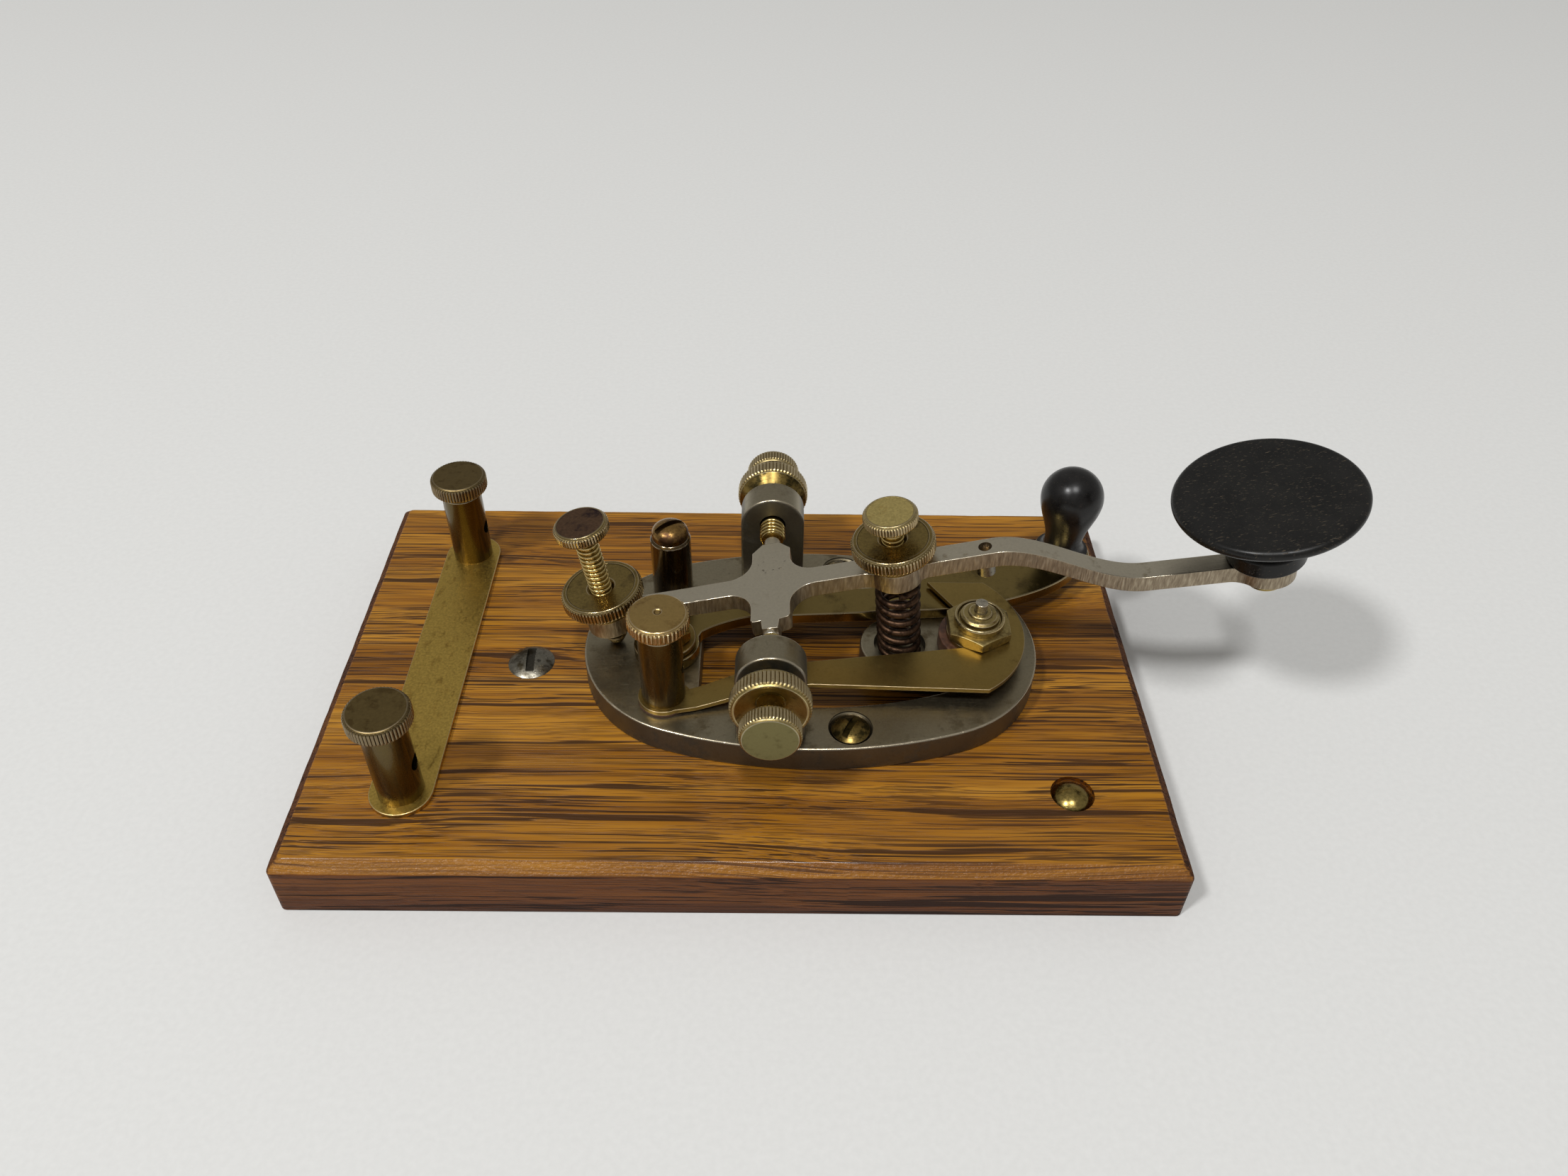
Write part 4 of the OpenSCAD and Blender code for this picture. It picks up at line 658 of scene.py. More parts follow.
# The key frame: one casting, an oval ring with a tongue under the spring and two round-topped uprights,
# filed flat, nickelled and worn. It is held to the board by two brass screws beside the uprights.
frame_mid, frame_half_l, frame_half_w, frame_end_r, frame_rim, frame_t = 7.4, 42.6, 26.45, 23.4, 10.0, 5.5
opening_back, seat_x, tongue_r, seat_d, seat_depth = 13.1, 24.3, 7.5, 9.8, 2.0
upright_gap, upright_t, upright_w, pivot_z = 36.4, 5.9, 12.2, 31.4
frame_screw_x, frame_screw_y, frame_screw_d, frame_screw_sink = 14.1, 21.3, 7.0, 0.3
frame_top = board_h + frame_t
frame_screw_z = frame_top - frame_screw_sink
on_key = shift(6.1, -0.5)
on_pivot = on_key @ shift(z=pivot_z)


def on_trunnion(side):
    """Frame of a trunnion, whose Z runs outwards: 1 is the near side, -1 the far side."""
    return on_pivot @ spun("X", 90 * side)


def oval(half_l, half_w, end_r, steps=28):
    """An oval drawn with four arcs, the ends with the given radius."""
    side_r = ((half_l - end_r) ** 2 + half_w ** 2 - end_r ** 2) / (2 * (half_w - end_r))
    meet = math.degrees(math.atan2(side_r - half_w, half_l - end_r))
    end, side = half_l - end_r, half_w - side_r
    arcs = (((end, 0), end_r, -meet, meet), ((0, side), side_r, meet, 180 - meet),
        ((-end, 0), end_r, 180 - meet, 180 + meet), ((0, -side), side_r, 180 + meet, 360 - meet))
    return [p for drawn in arcs for p in arc(*drawn, steps)[:-1]]


nickel, tree = new_finish("worn_nickel", 1.0)
worn = worn_metal(tree, (160, 150, 126), (118, 106, 82), Patch=190.0, Sheen=0.34, Scratch=0.4, Pits=0.3,
    Bright=0.9, Mottle=0.15)
as_cast = between(way_out(tree)[2], 0.3, 0.6, 1.0, 0.0)
hue = mixed(as_cast * 0.65, worn["Colour"], colour(84, 86, 86))
dress(hue, worn["Roughness"] + as_cast * 0.12, worn["Relief"], 0.00008)

middle = Vector((frame_mid, 0))
frame_oval = (frame_half_l, frame_half_w, frame_end_r)
outer = [p + middle for p in oval(*frame_oval)]
inner = [p + middle for p in oval(*[size - frame_rim for size in frame_oval])]
inner = [p for p in inner if p.x > -opening_back + 0.2 and not (p.x > seat_x and abs(p.y) < tongue_r + 0.2)]
start = max(range(len(inner)), key=lambda k: inner[k].x if inner[k].y > 0 else -1e9)
inner = inner[start:] + inner[:start]
turn_in = next(k for k, p in enumerate(inner) if p.y < 0)
back_y, tongue_x = inner[turn_in - 1].y + 0.4, inner[0].x + 0.3
opening = ([Vector((tongue_x, tongue_r))] + inner[:turn_in]
    + [Vector((-opening_back, back_y)), Vector((-opening_back, -back_y))] + inner[turn_in:]
    + [Vector((tongue_x, -tongue_r))] + arc((seat_x, 0), tongue_r, 270, 90, 24))
ring = moved(plate([outer, opening[::-1]], sheet_section(0, frame_t, 0.9), 0.45), shift(z=board_h))
for side in (1, -1):
    foot, half = pivot_z - frame_top + frame_t / 2, upright_w / 2
    post = arc((0, 0), half, 0, 180, 32) + [Vector((-half, -foot)), Vector((half, -foot))]
    post = [Vector((p.x, side * p.y)) for p in post][::side]
    lug = plate([post], sheet_section(0, upright_t, 1.0), 0.5)
    lug.transform(on_key.inverted() @ on_trunnion(side) @ shift(z=upright_gap / 2))
    ring = worked(ring, lug, "UNION")
cuts = moved(sleeve(0, seat_d / 2, frame_top - seat_depth, frame_top + 1, steps=64), shift(seat_x))
for side in (1, -1):
    hole = countersunk(board_h - 1, frame_top - 2.6, frame_screw_d / 2 + 0.45, frame_screw_z, frame_top)
    bore = moved(sleeve(0, 2.5, 0, 30), on_key.inverted() @ on_trunnion(side))
    joined(cuts, moved(hole, shift(frame_screw_x, side * frame_screw_y)), bore)
set_in_place("key_frame_casting", worked(ring, cuts), on_key, nickel, "base", "key_frame", "nickel")

# The frame screws: two brass wood screws with domed, slotted heads, dull with age. They are let into the
# casting beside the uprights and hold it down on the board.
dull_brass = metal_finish("dull_brass", (140, 118, 66), (62, 54, 30), Share=0.6, Patch=420.0)
screws = [domed_screw(frame_screw_d, 1.2, 62) for side in (1, -1)]
for screw, side in zip(screws, (1, -1)):
    screw.transform(shift(frame_screw_x, side * frame_screw_y, frame_screw_z))
set_in_place("frame_wood_screws", joined(*screws), on_key, dull_brass, "base", "frame_screws", "bright_brass")

# The anvil: a brass strap bent up over a fibre disc, from the near post's bush to the front of the frame,
# held down by a brass nut with a stepped stud in it. Its fibre keeps it apart from the frame.
fibre_d, fibre_t, anvil_x, stud_d = 14.4, 2.85, 38.65, 5.0
anvil_nut_h, lower_nut_h, lower_washer_t = 2.35, 3.0, 1.2
near_post, near_bush_r, near_bush_t, bend_start, bend_run = Vector((-19.2, -14.8)), 4.6, 0.5, 6.1, 19.0
strap_low, strap_high, near_foot = frame_top + near_bush_t, frame_top + fibre_t, frame_top + 1.4
anvil_strap_top, stud_bore = strap_high + strap_t, stud_d / 2 + 0.05
red_fibre, tree = new_finish("red_fibre", 0.0, 0.1)
flock = cloud(spot_on(tree), 700.0, 5.0, 0.65)
hue = ramped(flock, (0.3, 44, 26, 16), (0.55, 74, 45, 28), (0.75, 102, 68, 44))
dress(hue, between(flock, 0.2, 0.8, 0.45, 0.7), flock, 0.0001)
sheet_brass = metal_finish("sheet_brass", (158, 134, 76), (112, 92, 50), depth=0.00001, Share=0.45,
    Patch=120.0, Sheen=0.36, Scratch=0.45, Pits=0.2, Mottle=0.12)
bush = moved(sleeve(1.45, near_bush_r, 0, near_bush_t, 0.1, 64), shift(*near_post, frame_top))
set_in_place("strap_bush_flange", bush, on_key, red_fibre, "base", "strap_bush", "fibre")
disc = moved(sleeve(stud_bore, fibre_d / 2, 0, fibre_t, 0.3, 96), shift(anvil_x, 0, frame_top))
set_in_place("anvil_fibre_disc", disc, on_key, red_fibre, "base", "anvil_insulator", "fibre")

anvil = Vector((anvil_x, 0))
neck_near, neck_far = ((5.7, -3.3), (11.5, -1.7)), ((12.8, 4.3), (4.6, 1.3))
strip_near, strip_end_y, strip_far = (-31.4, -14.4), -15.4, (-26.8, -8.0)
arc_back, arc_r, disc_r, finger = 9.65, 18.3, 5.8, ((-8.2, 13.5), (-3.7, 6.2))
arc_low, arc_high = [math.degrees(math.asin(y / arc_r)) for y in (strip_end_y, finger[0][1])]
strap = arc(near_post, near_bush_r, 64, 300, 20)
strap += [near_post + Vector(p) for p in neck_near] + [anvil + Vector(strip_near)]
strap += arc(anvil - Vector((arc_back, 0)), arc_r, arc_low, arc_high, 28)
strap += [anvil + Vector(p) for p in finger]
strap += arc(anvil, disc_r, 115, 235, 14) + [anvil + Vector(strip_far)]
strap += [near_post + Vector(p) for p in neck_far]
blank = plate([strap], sheet_section(0, strap_t, 0.26), 0.2)


def bent(shape, stations, lift):
    """Bends a flat shape along X: cuts it across at each station and lifts it to the curve there."""
    for x in stations:
        everything = shape.verts[:] + shape.edges[:] + shape.faces[:]
        bmesh.ops.bisect_plane(shape, geom=everything, dist=1e-5, plane_co=(x, 0, 0), plane_no=(1, 0, 0))
    for corner in shape.verts:
        corner.co.z += lift(corner.co.x)
    return shape


def strap_lift(x):
    """Height of the strap, which rises nearly straight with a soft start and end."""
    t, rise = min(1.0, max(0.0, (x - near_post.x - bend_start) / bend_run)), strap_high - strap_low
    return strap_low + rise * t * t * (3 - 2 * t) * 0.3 + rise * t * 0.7


bent(blank, [near_post.x + bend_start + bend_run * k / 10 for k in range(11)], strap_lift)
set_in_place("anvil_strap_sheet", blank, on_key, sheet_brass, "base", "anvil_strap", "old_brass")


def hexagon(across, height, turn, bore, chamfer=0.55):
    """A hexagon nut: six flats cut from a turned blank with chamfered rims."""
    half, r = across / 2 - 0.15, across / 2 / math.cos(math.radians(30))
    flats = plate([arc((0, 0), r, turn, turn + 300, 5)], sheet_section(0, height, 1), 0.0)
    blank = turned([(bore, 0), (half, 0), (r + 0.2, chamfer), (r + 0.2, height - chamfer), (half, height),
        (bore, height)], 0.0, 96)
    return worked(blank, flats, "INTERSECT", 0.1)


def repaint(piece, at, finish, chosen):
    """Gives another finish to the faces whose middle, in the piece's own frame, is chosen."""
    piece.data.materials.append(finish)
    back = (Matrix.Scale(MM, 4) @ at).inverted()
    for face in piece.data.polygons:
        if chosen(back @ face.center):
            face.material_index = len(piece.data.materials) - 1


anvil_brass = metal_finish("anvil_brass", (176, 156, 102), (112, 94, 58), depth=0.00002, Patch=380.0,
    Sheen=0.34, Scratch=0.4, Pits=0.3)
silver = metal_finish("contact_silver", (198, 190, 172), (92, 82, 66), Share=0.5, Patch=600.0,
    Scratch=0.4, Pits=0.6)
nut = moved(hexagon(11.3, anvil_nut_h, 30, stud_bore, 0.5), shift(anvil_x, 0, anvil_strap_top))
set_in_place("anvil_hexagon_nut", nut, on_key, anvil_brass, "base", "anvil_nut", "bright_brass")
head, top, stud_low, pin_r, pin_up = anvil_strap_top + anvil_nut_h, anvil_strap_top + 7.05, 7.4, 1.15, 2.58
stud_steps = ((4.7, 0), (4.7, 1.1), (4.5, 1.41), (4.15, 1.41), (4.0, 0.8), (3.6, 0.8), (3.6, 1.6),
    (3.1, 1.95), (2.4, 2.1), (2.18, 2.1), (2.18, 2.4), (2.0, 2.55), (pin_r, pin_up))
stud = turned([(0, stud_low), (stud_d / 2, stud_low), (stud_d / 2, head)]
    + [(r, head + up) for r, up in stud_steps] + [(pin_r, top - 0.12), (0, top)], 0.14, 72)
piece = set_in_place("anvil_stepped_stud", moved(stud, shift(anvil_x)), on_key, anvil_brass,
    "base", "anvil_stud", "bright_brass")
repaint(piece, on_key, silver, lambda spot: spot.z > head + pin_up + 0.02)
washer_low = board_h - lower_washer_t
lower = moved(hexagon(8.0, lower_nut_h, 0, stud_bore), shift(anvil_x, 0, washer_low - lower_nut_h))
set_in_place("anvil_nut_below", lower, on_key, screw_brass, "base", "anvil_lower_nut", "bright_brass")
washer = moved(sleeve(stud_bore, 5.5, 0, lower_washer_t, 0.15, 64), shift(anvil_x, 0, washer_low))
set_in_place("anvil_washer_below", washer, on_key, red_fibre, "base", "anvil_lower_washer", "fibre")

# The frame posts: the near one stands on the anvil strap and takes a wire under its knurled cap, the far
# one stands straight on the frame with a slotted round-head screw in its top. Both are held by screws
# from below.
far_post, near_post_h, far_post_h, frame_cap_r, frame_cap_h = Vector((-19.6, 15.3)), 16.2, 13.3, 5.4, 2.9
near_washer_t, round_r, round_top = 0.8, 3.55, 3.1
tan_brass = metal_finish("tan_brass", (182, 152, 94), (140, 112, 66), Share=0.35, Patch=400.0,
    Scratch=0.6, Pits=0.1, Mottle=0.12)
dark_lacquer = metal_finish("dark_lacquer", (92, 72, 38), (44, 32, 18), 0.4, Share=0.6, Patch=420.0,
    Stretch=(1, 1, 0.14), Sheen=0.2, Scratch=0.2, Pits=0.1, Bright=1.0, Mottle=0.1)
cap_screw_brass = metal_finish("cap_screw_brass", (158, 124, 72), (92, 66, 46), Share=0.55, Sheen=0.26)


def fan(step, count):
    return [math.radians(step * k) for k in range(count)]


at_near = on_key @ shift(*near_post, near_foot)
set_in_place("frame_post_near_column", drilled_post(near_post_h), at_near, post_lacquer,
    "base", "frame_post_near", "dark_brass")
cap = thumbscrew(frame_cap_r, frame_cap_h, 6.8, 0.3, 0.3, [(0.75, 0.36), (0.5, 0.15), (0, 0.1)])
set_in_place("frame_cap_near", cap, at_near @ shift(z=near_post_h), tan_brass, "frame_thumbscrew_body",
    "frame_thumbscrew", "old_brass",
    knurl_on(tan_brass, frame_cap_r, cap_neck_h + 0.3, cap_neck_h + frame_cap_h - 0.3, 44, 0.34))
at_far = on_key @ shift(*far_post, frame_top)
set_in_place("frame_post_far_column", column(far_post_h), at_far, dark_lacquer,
    "base", "frame_post_far", "dark_brass")
crown = [(round_r * math.cos(a), 0.8 + 2.3 * math.sin(a)) for a in fan(7.5, 12)] + [(0, round_top)]
head = slotted(turned([(0, 0.02), (3.5, 0.02)] + crown, 0.1, 64), 1.2, 1.1, round_top, 33)
set_in_place("far_post_round_screw", head, at_far @ shift(z=far_post_h), cap_screw_brass,
    "base", "post_cap_screw", "old_brass")
near_screw = screw_from_below(near_foot - board_h + near_washer_t + screw_grip)
near_screw.transform(shift(*near_post, board_h - near_washer_t))
far_screw = moved(screw_from_below(frame_t + screw_grip), shift(*far_post, board_h))
set_in_place("frame_post_fixing_screws", joined(near_screw, far_screw), on_key, screw_brass,
    "base", "frame_post_screws", "bright_brass")

# The circuit closer: a blade cut from thick brass sheet that swings on a bolt at the back of the frame,
# held by a washer and a hexagon nut, with a moulded black knob screwed on from below.
blade_z, blade_t, lobe_r, blade_end_r, bolt_bore = frame_top + 0.1, 2.4, 6.1, 5.7, 2.3
blade_w, blade_front_w, flare_start, flare_end = 7.0, 10.6, 39.0, 56.0
blade_route = [Vector(p) for p in ((0, 0), (5.2, 6.2), (14.3, 10.3), (23.6, 11), (39, 12.2), (53.2, 14.8),
    (63.9, 17.6), (73, 22.1), (78.4, 27.6))]
blade_end = blade_route[-1]
at_closer = on_key @ shift(-19.5, -2.5)
blade_brass = metal_finish("blade_brass", (142, 122, 72), (102, 86, 50), depth=0.00002, Patch=120.0,
    Sheen=0.22, Scratch=0.4, Pits=0.2, Mottle=0.12)


def hermite(start, end, leaving, coming, t):
    """A curve between two places, by the ways it leaves the first and comes to the second."""
    return (start * (2 * t ** 3 - 3 * t ** 2 + 1) + leaving * (t ** 3 - 2 * t ** 2 + t)
        + end * (3 * t ** 2 - 2 * t ** 3) + coming * (t ** 3 - t ** 2))


def chord(points, k):
    """From the point before the given one to the point after it."""
    return points[min(k + 1, len(points) - 1)] - points[max(k - 1, 0)]


def angle_to(middle, p):
    return math.degrees(math.atan2(p.y - middle.y, p.x - middle.x))


last = len(blade_route) - 1
ways = [chord(blade_route, k) / (2 if 0 < k < last else 1) for k in range(last + 1)]
centre = [hermite(*blade_route[k:k + 2], *ways[k:k + 2], step / 10)
    for k in range(last) for step in range(10)] + [blade_end]
right, left = [], []
for k, p in enumerate(centre):
    way = chord(centre, k).normalized()
    t = min(1.0, max(0.0, (p.x - flare_start) / (flare_end - flare_start)))
    half = (blade_w + (blade_front_w - blade_w) * t * t * (3 - 2 * t)) / 2
    half = max(half, math.sqrt(max(0.0, blade_end_r ** 2 - (p - blade_end).length_squared)))
    if (p - blade_route[0]).length > lobe_r + 0.2:
        right.append(p + Vector((way.y, -way.x)) * half)
        left.append(p + Vector((-way.y, way.x)) * half)
front_turn = angle_to(blade_end, right[-1])
lobe_start, lobe_end = angle_to(blade_route[0], left[0]), angle_to(blade_route[0], right[0])
lobe_end = lobe_end - 8 + (360 if lobe_end < lobe_start else 0)
blade = right + arc(blade_end, blade_end_r, front_turn + 6, front_turn + 174, 30)
blade += left[::-1] + arc(blade_route[0], lobe_r, lobe_start + 8, lobe_end, 32)
blade = plate([blade, arc((0, 0), bolt_bore, 360, 0, 40)[:-1]], sheet_section(0, blade_t, 0.9), 0.3)
set_in_place("closer_blade_plate", blade, at_closer @ shift(z=blade_z), blade_brass,
    "closer", "closer_blade", "old_brass")

washer_z, washer_t = blade_z + blade_t + 0.05, 1.2
nut_brass = metal_finish("nut_brass", (184, 150, 84), (98, 74, 40), Share=0.5, Patch=340.0, Sheen=0.28,
    Scratch=0.6, Pits=0.6)
set_in_place("closer_spring_washer", sleeve(bolt_bore, 5.5, 0, washer_t, 0.3, 72),
    at_closer @ shift(z=washer_z), sheet_brass, "base", "closer_washer", "dark_brass")
set_in_place("closer_hexagon_nut", hexagon(8.2, 2.7, -15, bolt_bore, 0.6),
    at_closer @ shift(z=washer_z + washer_t), nut_brass, "base", "closer_nut", "old_brass")
low, high, bolt_r = board_h - 2.2, washer_z + 4.1, 2.25
bolt = turned([(0, low), (4.5, low), (4.5, board_h), (bolt_r, board_h), (bolt_r, high), (0, high)], 0.25, 64)
set_in_place("closer_pivot_bolt", bolt, at_closer, nut_brass, "base", "closer_bolt", "old_brass")

moulded, tree = new_finish("moulded_black", 0.0, specular=0.35)
moulded_at = spot_on(tree)
haze = cloud(moulded_at, 420.0, 5.0, 0.6)
specks = between(cloud(moulded_at, 2600.0, 2.0), 0.66, 0.74)
hue = mixed(specks * 0.4, ramped(haze, (0.3, 13, 12, 12), (0.7, 27, 25, 24)), colour(70, 60, 50))
dress(hue, between(haze, 0.25, 0.75, 0.22, 0.36), haze, 0.00005, 0.3)
foot_r, neck_r, neck_h, ball_r, ball_h, ball_start = 5.2, 3.7, 3.0, 6.1, 13.6, math.radians(-5)
profile = [(0, 0), (foot_r, 0)]
profile += [(foot_r - 1.5 * math.sin(a), 1 + (neck_h - 1) * (1 - math.cos(a))) for a in fan(7.5, 12)]
pull, neck = ball_h - neck_h, Vector((neck_r, neck_h))
swell = Vector((ball_r * math.cos(ball_start), ball_h + ball_r * math.sin(ball_start)))
swell_way = pull * Vector((-math.sin(ball_start), math.cos(ball_start)))
profile += [tuple(hermite(neck, swell, Vector((0, pull)), swell_way, k / 14)) for k in range(14)]
profile += [tuple(p) for p in arc((0, ball_h), ball_r, -5, 90, 20)][:-1] + [(0, ball_h + ball_r)]
at_knob = at_closer @ shift(*blade_end)
set_in_place("closer_drop_knob", turned(profile, 0.3, 96), at_knob @ shift(z=blade_z + blade_t), moulded,
    "closer", "closer_knob", "black_rubber")
screw = slotted(turned([(0, 0), (3.0, 0), (1.6, 1.4), (1.6, 2.3), (0, 2.3)], 0.1, 48), 1.0, 0.7, 0, 20)
set_in_place("closer_knob_fixing_screw", screw, at_knob @ shift(z=blade_z), screw_brass,
    "closer", "closer_knob_screw", "bright_brass")

# The trunnion screws: brass screws with knurled round heads that run in through the uprights and carry
# the lever's pivots in cups at their tips, each locked by a coarse knurled nut with a dished face.
trunnion_d, trunnion_tip, cup_r, cup_z, thread_end = 4.9, 13.8, 0.86, 14.66, 18.0
plain_start, plain_r, head_z, head_d, head_t, thread_depth = 27.5, 2.37, 33.1, 10.4, 3.4, 0.34
nut_z, nut_r, nut_bore, hub_t, rim_t, dish, dish_land = 24.15, 6.9, 2.4, 2.9, 3.5, 2.2, 0.9
thread_brass = metal_finish("thread_brass", (210, 182, 108), (146, 118, 62), Share=0.3, Patch=400.0,
    Sheen=0.22, Scratch=0.4, Pits=0.3)
grey_brass = metal_finish("grey_brass", (124, 116, 76), (104, 96, 60), Sheen=0.36, Scratch=0.8, Pits=0.1,
    Mottle=0.1)
coarse_brass = metal_finish("coarse_brass", (170, 150, 96), (112, 96, 58), Sheen=0.38, Scratch=0.6)


def helix(steps, turns, radius, height):
    feeds = {"Resolution": steps, "Rotations": turns, "Height": height}
    feeds.update({"Start Radius": radius, "End Radius": radius})
    return lay(height.tree, "GeometryNodeCurveSpiral", feeds)


def drawn_along(path, steps, radius):
    """A round bar along a path, with its ends closed."""
    ring = lay(path.tree, "GeometryNodeCurvePrimitiveCircle", {"Resolution": steps, "Radius": radius})
    feeds = {"Curve": path, "Profile Curve": ring, "Fill Caps": True}
    return lay(path.tree, "GeometryNodeCurveToMesh", feeds)


# A screw thread: a rounded ridge wound round the core, its crest bright and its root dark.
given = new_growth("wound_thread", "Core", "Depth", "Pitch", "Start", "Length")
thread = given.tree
wound = helix(40, given["Length"] / given["Pitch"], given["Core"], given["Length"])
wound = lay(thread, "GeometryNodeSetCurveNormal", {"Curve": wound}, mode="Z_UP")
bead = drawn_along(wound, 8, given["Depth"])
place = place_in(thread)
reach = (calc("SQRT", place[0] ** 2.0 + place[1] ** 2.0) - given["Core"]) / given["Depth"]
crest = calc("MINIMUM", calc("MAXIMUM", calc("MULTIPLY_ADD", reach, 2.2, -1.2), -1.0), 1.0)
bead = lay(thread, "GeometryNodeSetShadeSmooth", {0: marked(bead, crest)})
made_real(added(bead, given, given["Start"]), given)


def thread_on(finish, radius, low, high, pitch=1.0):
    """A thread whose crest just reaches the given radius."""
    return thread, {"Core": radius - thread_depth, "Depth": thread_depth, "Pitch": pitch, "Start": low,
        "Length": high - low, "Finish": finish}


core, r, top, nut_top = trunnion_d / 2 - thread_depth, head_d / 2, head_z + head_t, hub_t + rim_t
for side, word in ((1, "near"), (-1, "far")):
    at = on_trunnion(side)
    screw = turned([(0, cup_z), (cup_r, trunnion_tip), (core, trunnion_tip), (core, plain_start),
        (plain_r, plain_start + 0.2), (plain_r, head_z), (r - 0.45, head_z), (r - 0.25, head_z + 0.3),
        (r - 0.25, top - 0.35), (r - 0.55, top), (0, top)], 0.14, 72)
    piece = set_in_place("trunnion_screw_%s_brass" % word, screw, at, thread_brass,
        "trunnion_screw_%s_body" % word, "trunnion_screw_" + word, "bright_brass",
        thread_on(thread_brass, trunnion_d / 2, trunnion_tip + 0.3, thread_end),
        knurl_on(thread_brass, r, head_z + 0.35, top - 0.35, 56, 0.26))
    repaint(piece, at, coarse_brass, lambda spot: spot.z > head_z)
    repaint(piece, at, grey_brass, lambda spot: spot.z > top - 0.05 and spot.xy.length < r - 0.5)
    nut = turned([(nut_bore, 0), (nut_r - hub_t, 0), (nut_r - 0.35, hub_t - 0.1),
        (nut_r - 0.35, nut_top - 0.4), (nut_r - 0.6, nut_top), (nut_r - dish_land, nut_top),
        (nut_bore + 0.1, nut_top - dish), (nut_bore, nut_top - dish)], 0.1, 96)
    at = at @ shift(z=nut_z)
    piece = set_in_place("trunnion_nut_%s_dished" % word, nut, at, coarse_brass,
        "trunnion_nut_%s_body" % word, "trunnion_nut_" + word, "old_brass",
        knurl_on(coarse_brass, nut_r, hub_t + 0.1, nut_top - 0.3, 62, 0.36))
    repaint(piece, at, dull_brass, lambda spot: spot.z < hub_t - 0.1)

# The lever: a nickelled bar with a boss at the tail, cross arms that end in pivots, a boss over the
# spring and a pad for the knob, its top polished and its sides left rough from the file.
lever_rest, lever_rise, drop_start, drop_end, drop_h = 9.0, 4.0, 40.0, 67.0, 9.65
lever_t, lever_w, fillet, arm_half_w, contact_u, boss_half, boss_bore = 3.3, 4.2, 4.5, 3.55, 38.65, 2.0, 2.15
tail_u, tail_r, spring_u, spring_r = -30.7, 4.2, 22.7, 4.6
pad_u, pad_r, pad_up, pad_down = 88.2, 5.2, 2.497, 1.975
slope, drop_l = math.tan(math.radians(lever_rise)), drop_end - drop_start
pad_mid = slope * drop_start - drop_h
on_lever = on_pivot @ spun("Y", -lever_rest)
at_pad = shift(pad_u, 0, pad_mid) @ spun("Y", -5.5)


def lever_mid(u):
    """Height of the bar's middle at a distance from the pivot."""
    if u < drop_start:
        return slope * u
    if u > drop_end:
        return pad_mid
    return hermite(slope * drop_start, pad_mid, slope * drop_l, 0.0, (u - drop_start) / drop_l)


def reach_of(r):
    """How far from a boss the fillet to the bar has its middle, and the angle there."""
    along = math.sqrt((r + fillet) ** 2 - (lever_w / 2 + fillet) ** 2)
    return along, math.degrees(math.atan2(lever_w / 2 + fillet, along))


def half_lever(arm_end):
    """One side of the lever's plan, from the tail to the pad, with the given outline of its arm's end."""
    high = lever_w / 2 + fillet
    (tail, tail_turn), (boss, boss_turn), (pad, pad_turn) = [reach_of(r) for r in (tail_r, spring_r, pad_r)]
    side = arc((tail_u, 0), tail_r, 180, tail_turn, 14)
    side += arc((tail_u + tail, high), fillet, 180 + tail_turn, 270, 8)[1:]
    side += arc((-arm_half_w - fillet, high), fillet, 270, 360, 10) + [Vector(p) for p in arm_end]
    side += arc((arm_half_w + fillet, high), fillet, 180, 270, 10)
    side += arc((spring_u - boss, high), fillet, 270, 360 - boss_turn, 8)
    side += arc((spring_u, 0), spring_r, 180 - boss_turn, boss_turn, 16)[1:]
    side += arc((spring_u + boss, high), fillet, 180 + boss_turn, 270, 8)[1:]
    side += arc((pad_u - pad, high), fillet, 270, 360 - pad_turn, 8)
    return side + arc((pad_u, 0), pad_r, 180 - pad_turn, 0, 22)[1:]


near_end = ((-3.55, 9.5), (-3.2, 10.0), (-1.7, 9.9), (-1.45, 12.1),
    (1.4, 12.3), (1.65, 10.1), (3.1, 9.8), (3.55, 9.3))
far_end = ((-3.55, 8.7), (-1.7, 10.9), (1.5, 11.0), (3.55, 8.9))
plan = [Vector((p.x, -p.y)) for p in half_lever(near_end)][:-1] + half_lever(far_end)[:0:-1]
bar = plate([plan], sheet_section(-lever_t / 2, lever_t / 2, 0.34), 0.3)
bent(bar, [-40 + 10 * k for k in range(8)] + [drop_start + drop_l * k / 24 for k in range(25)], lever_mid)
bosses = moved(turned([(0, -pad_down), (3.5, -pad_down), (3.5, 0), (pad_r - 0.2, 0), (pad_r - 0.2, pad_up),
    (0, pad_up)]), at_pad)
for u, r in ((tail_u, tail_r), (spring_u, spring_r)):
    joined(bosses, moved(sleeve(0, r + 0.2, -boss_half, boss_half, 0.25, 72), shift(u, 0, slope * u)))
for side in (1, -1):
    pivot = turned([(0, 8.0), (1.5, 8.0), (1.5, 13.05), (0, 14.55)], 0.15, 40)
    joined(bosses, moved(pivot, spun("X", 90 * side)))
bar = worked(bar, bosses, "UNION")
bores = moved(sleeve(0, boss_bore, -20, 20), shift(tail_u))
for place, r in ((shift(spring_u), boss_bore), (shift(contact_u), 1.2), (at_pad, 1.8)):
    joined(bores, moved(sleeve(0, r, -20, 20, steps=40), place))
bar = worked(bar, bores)

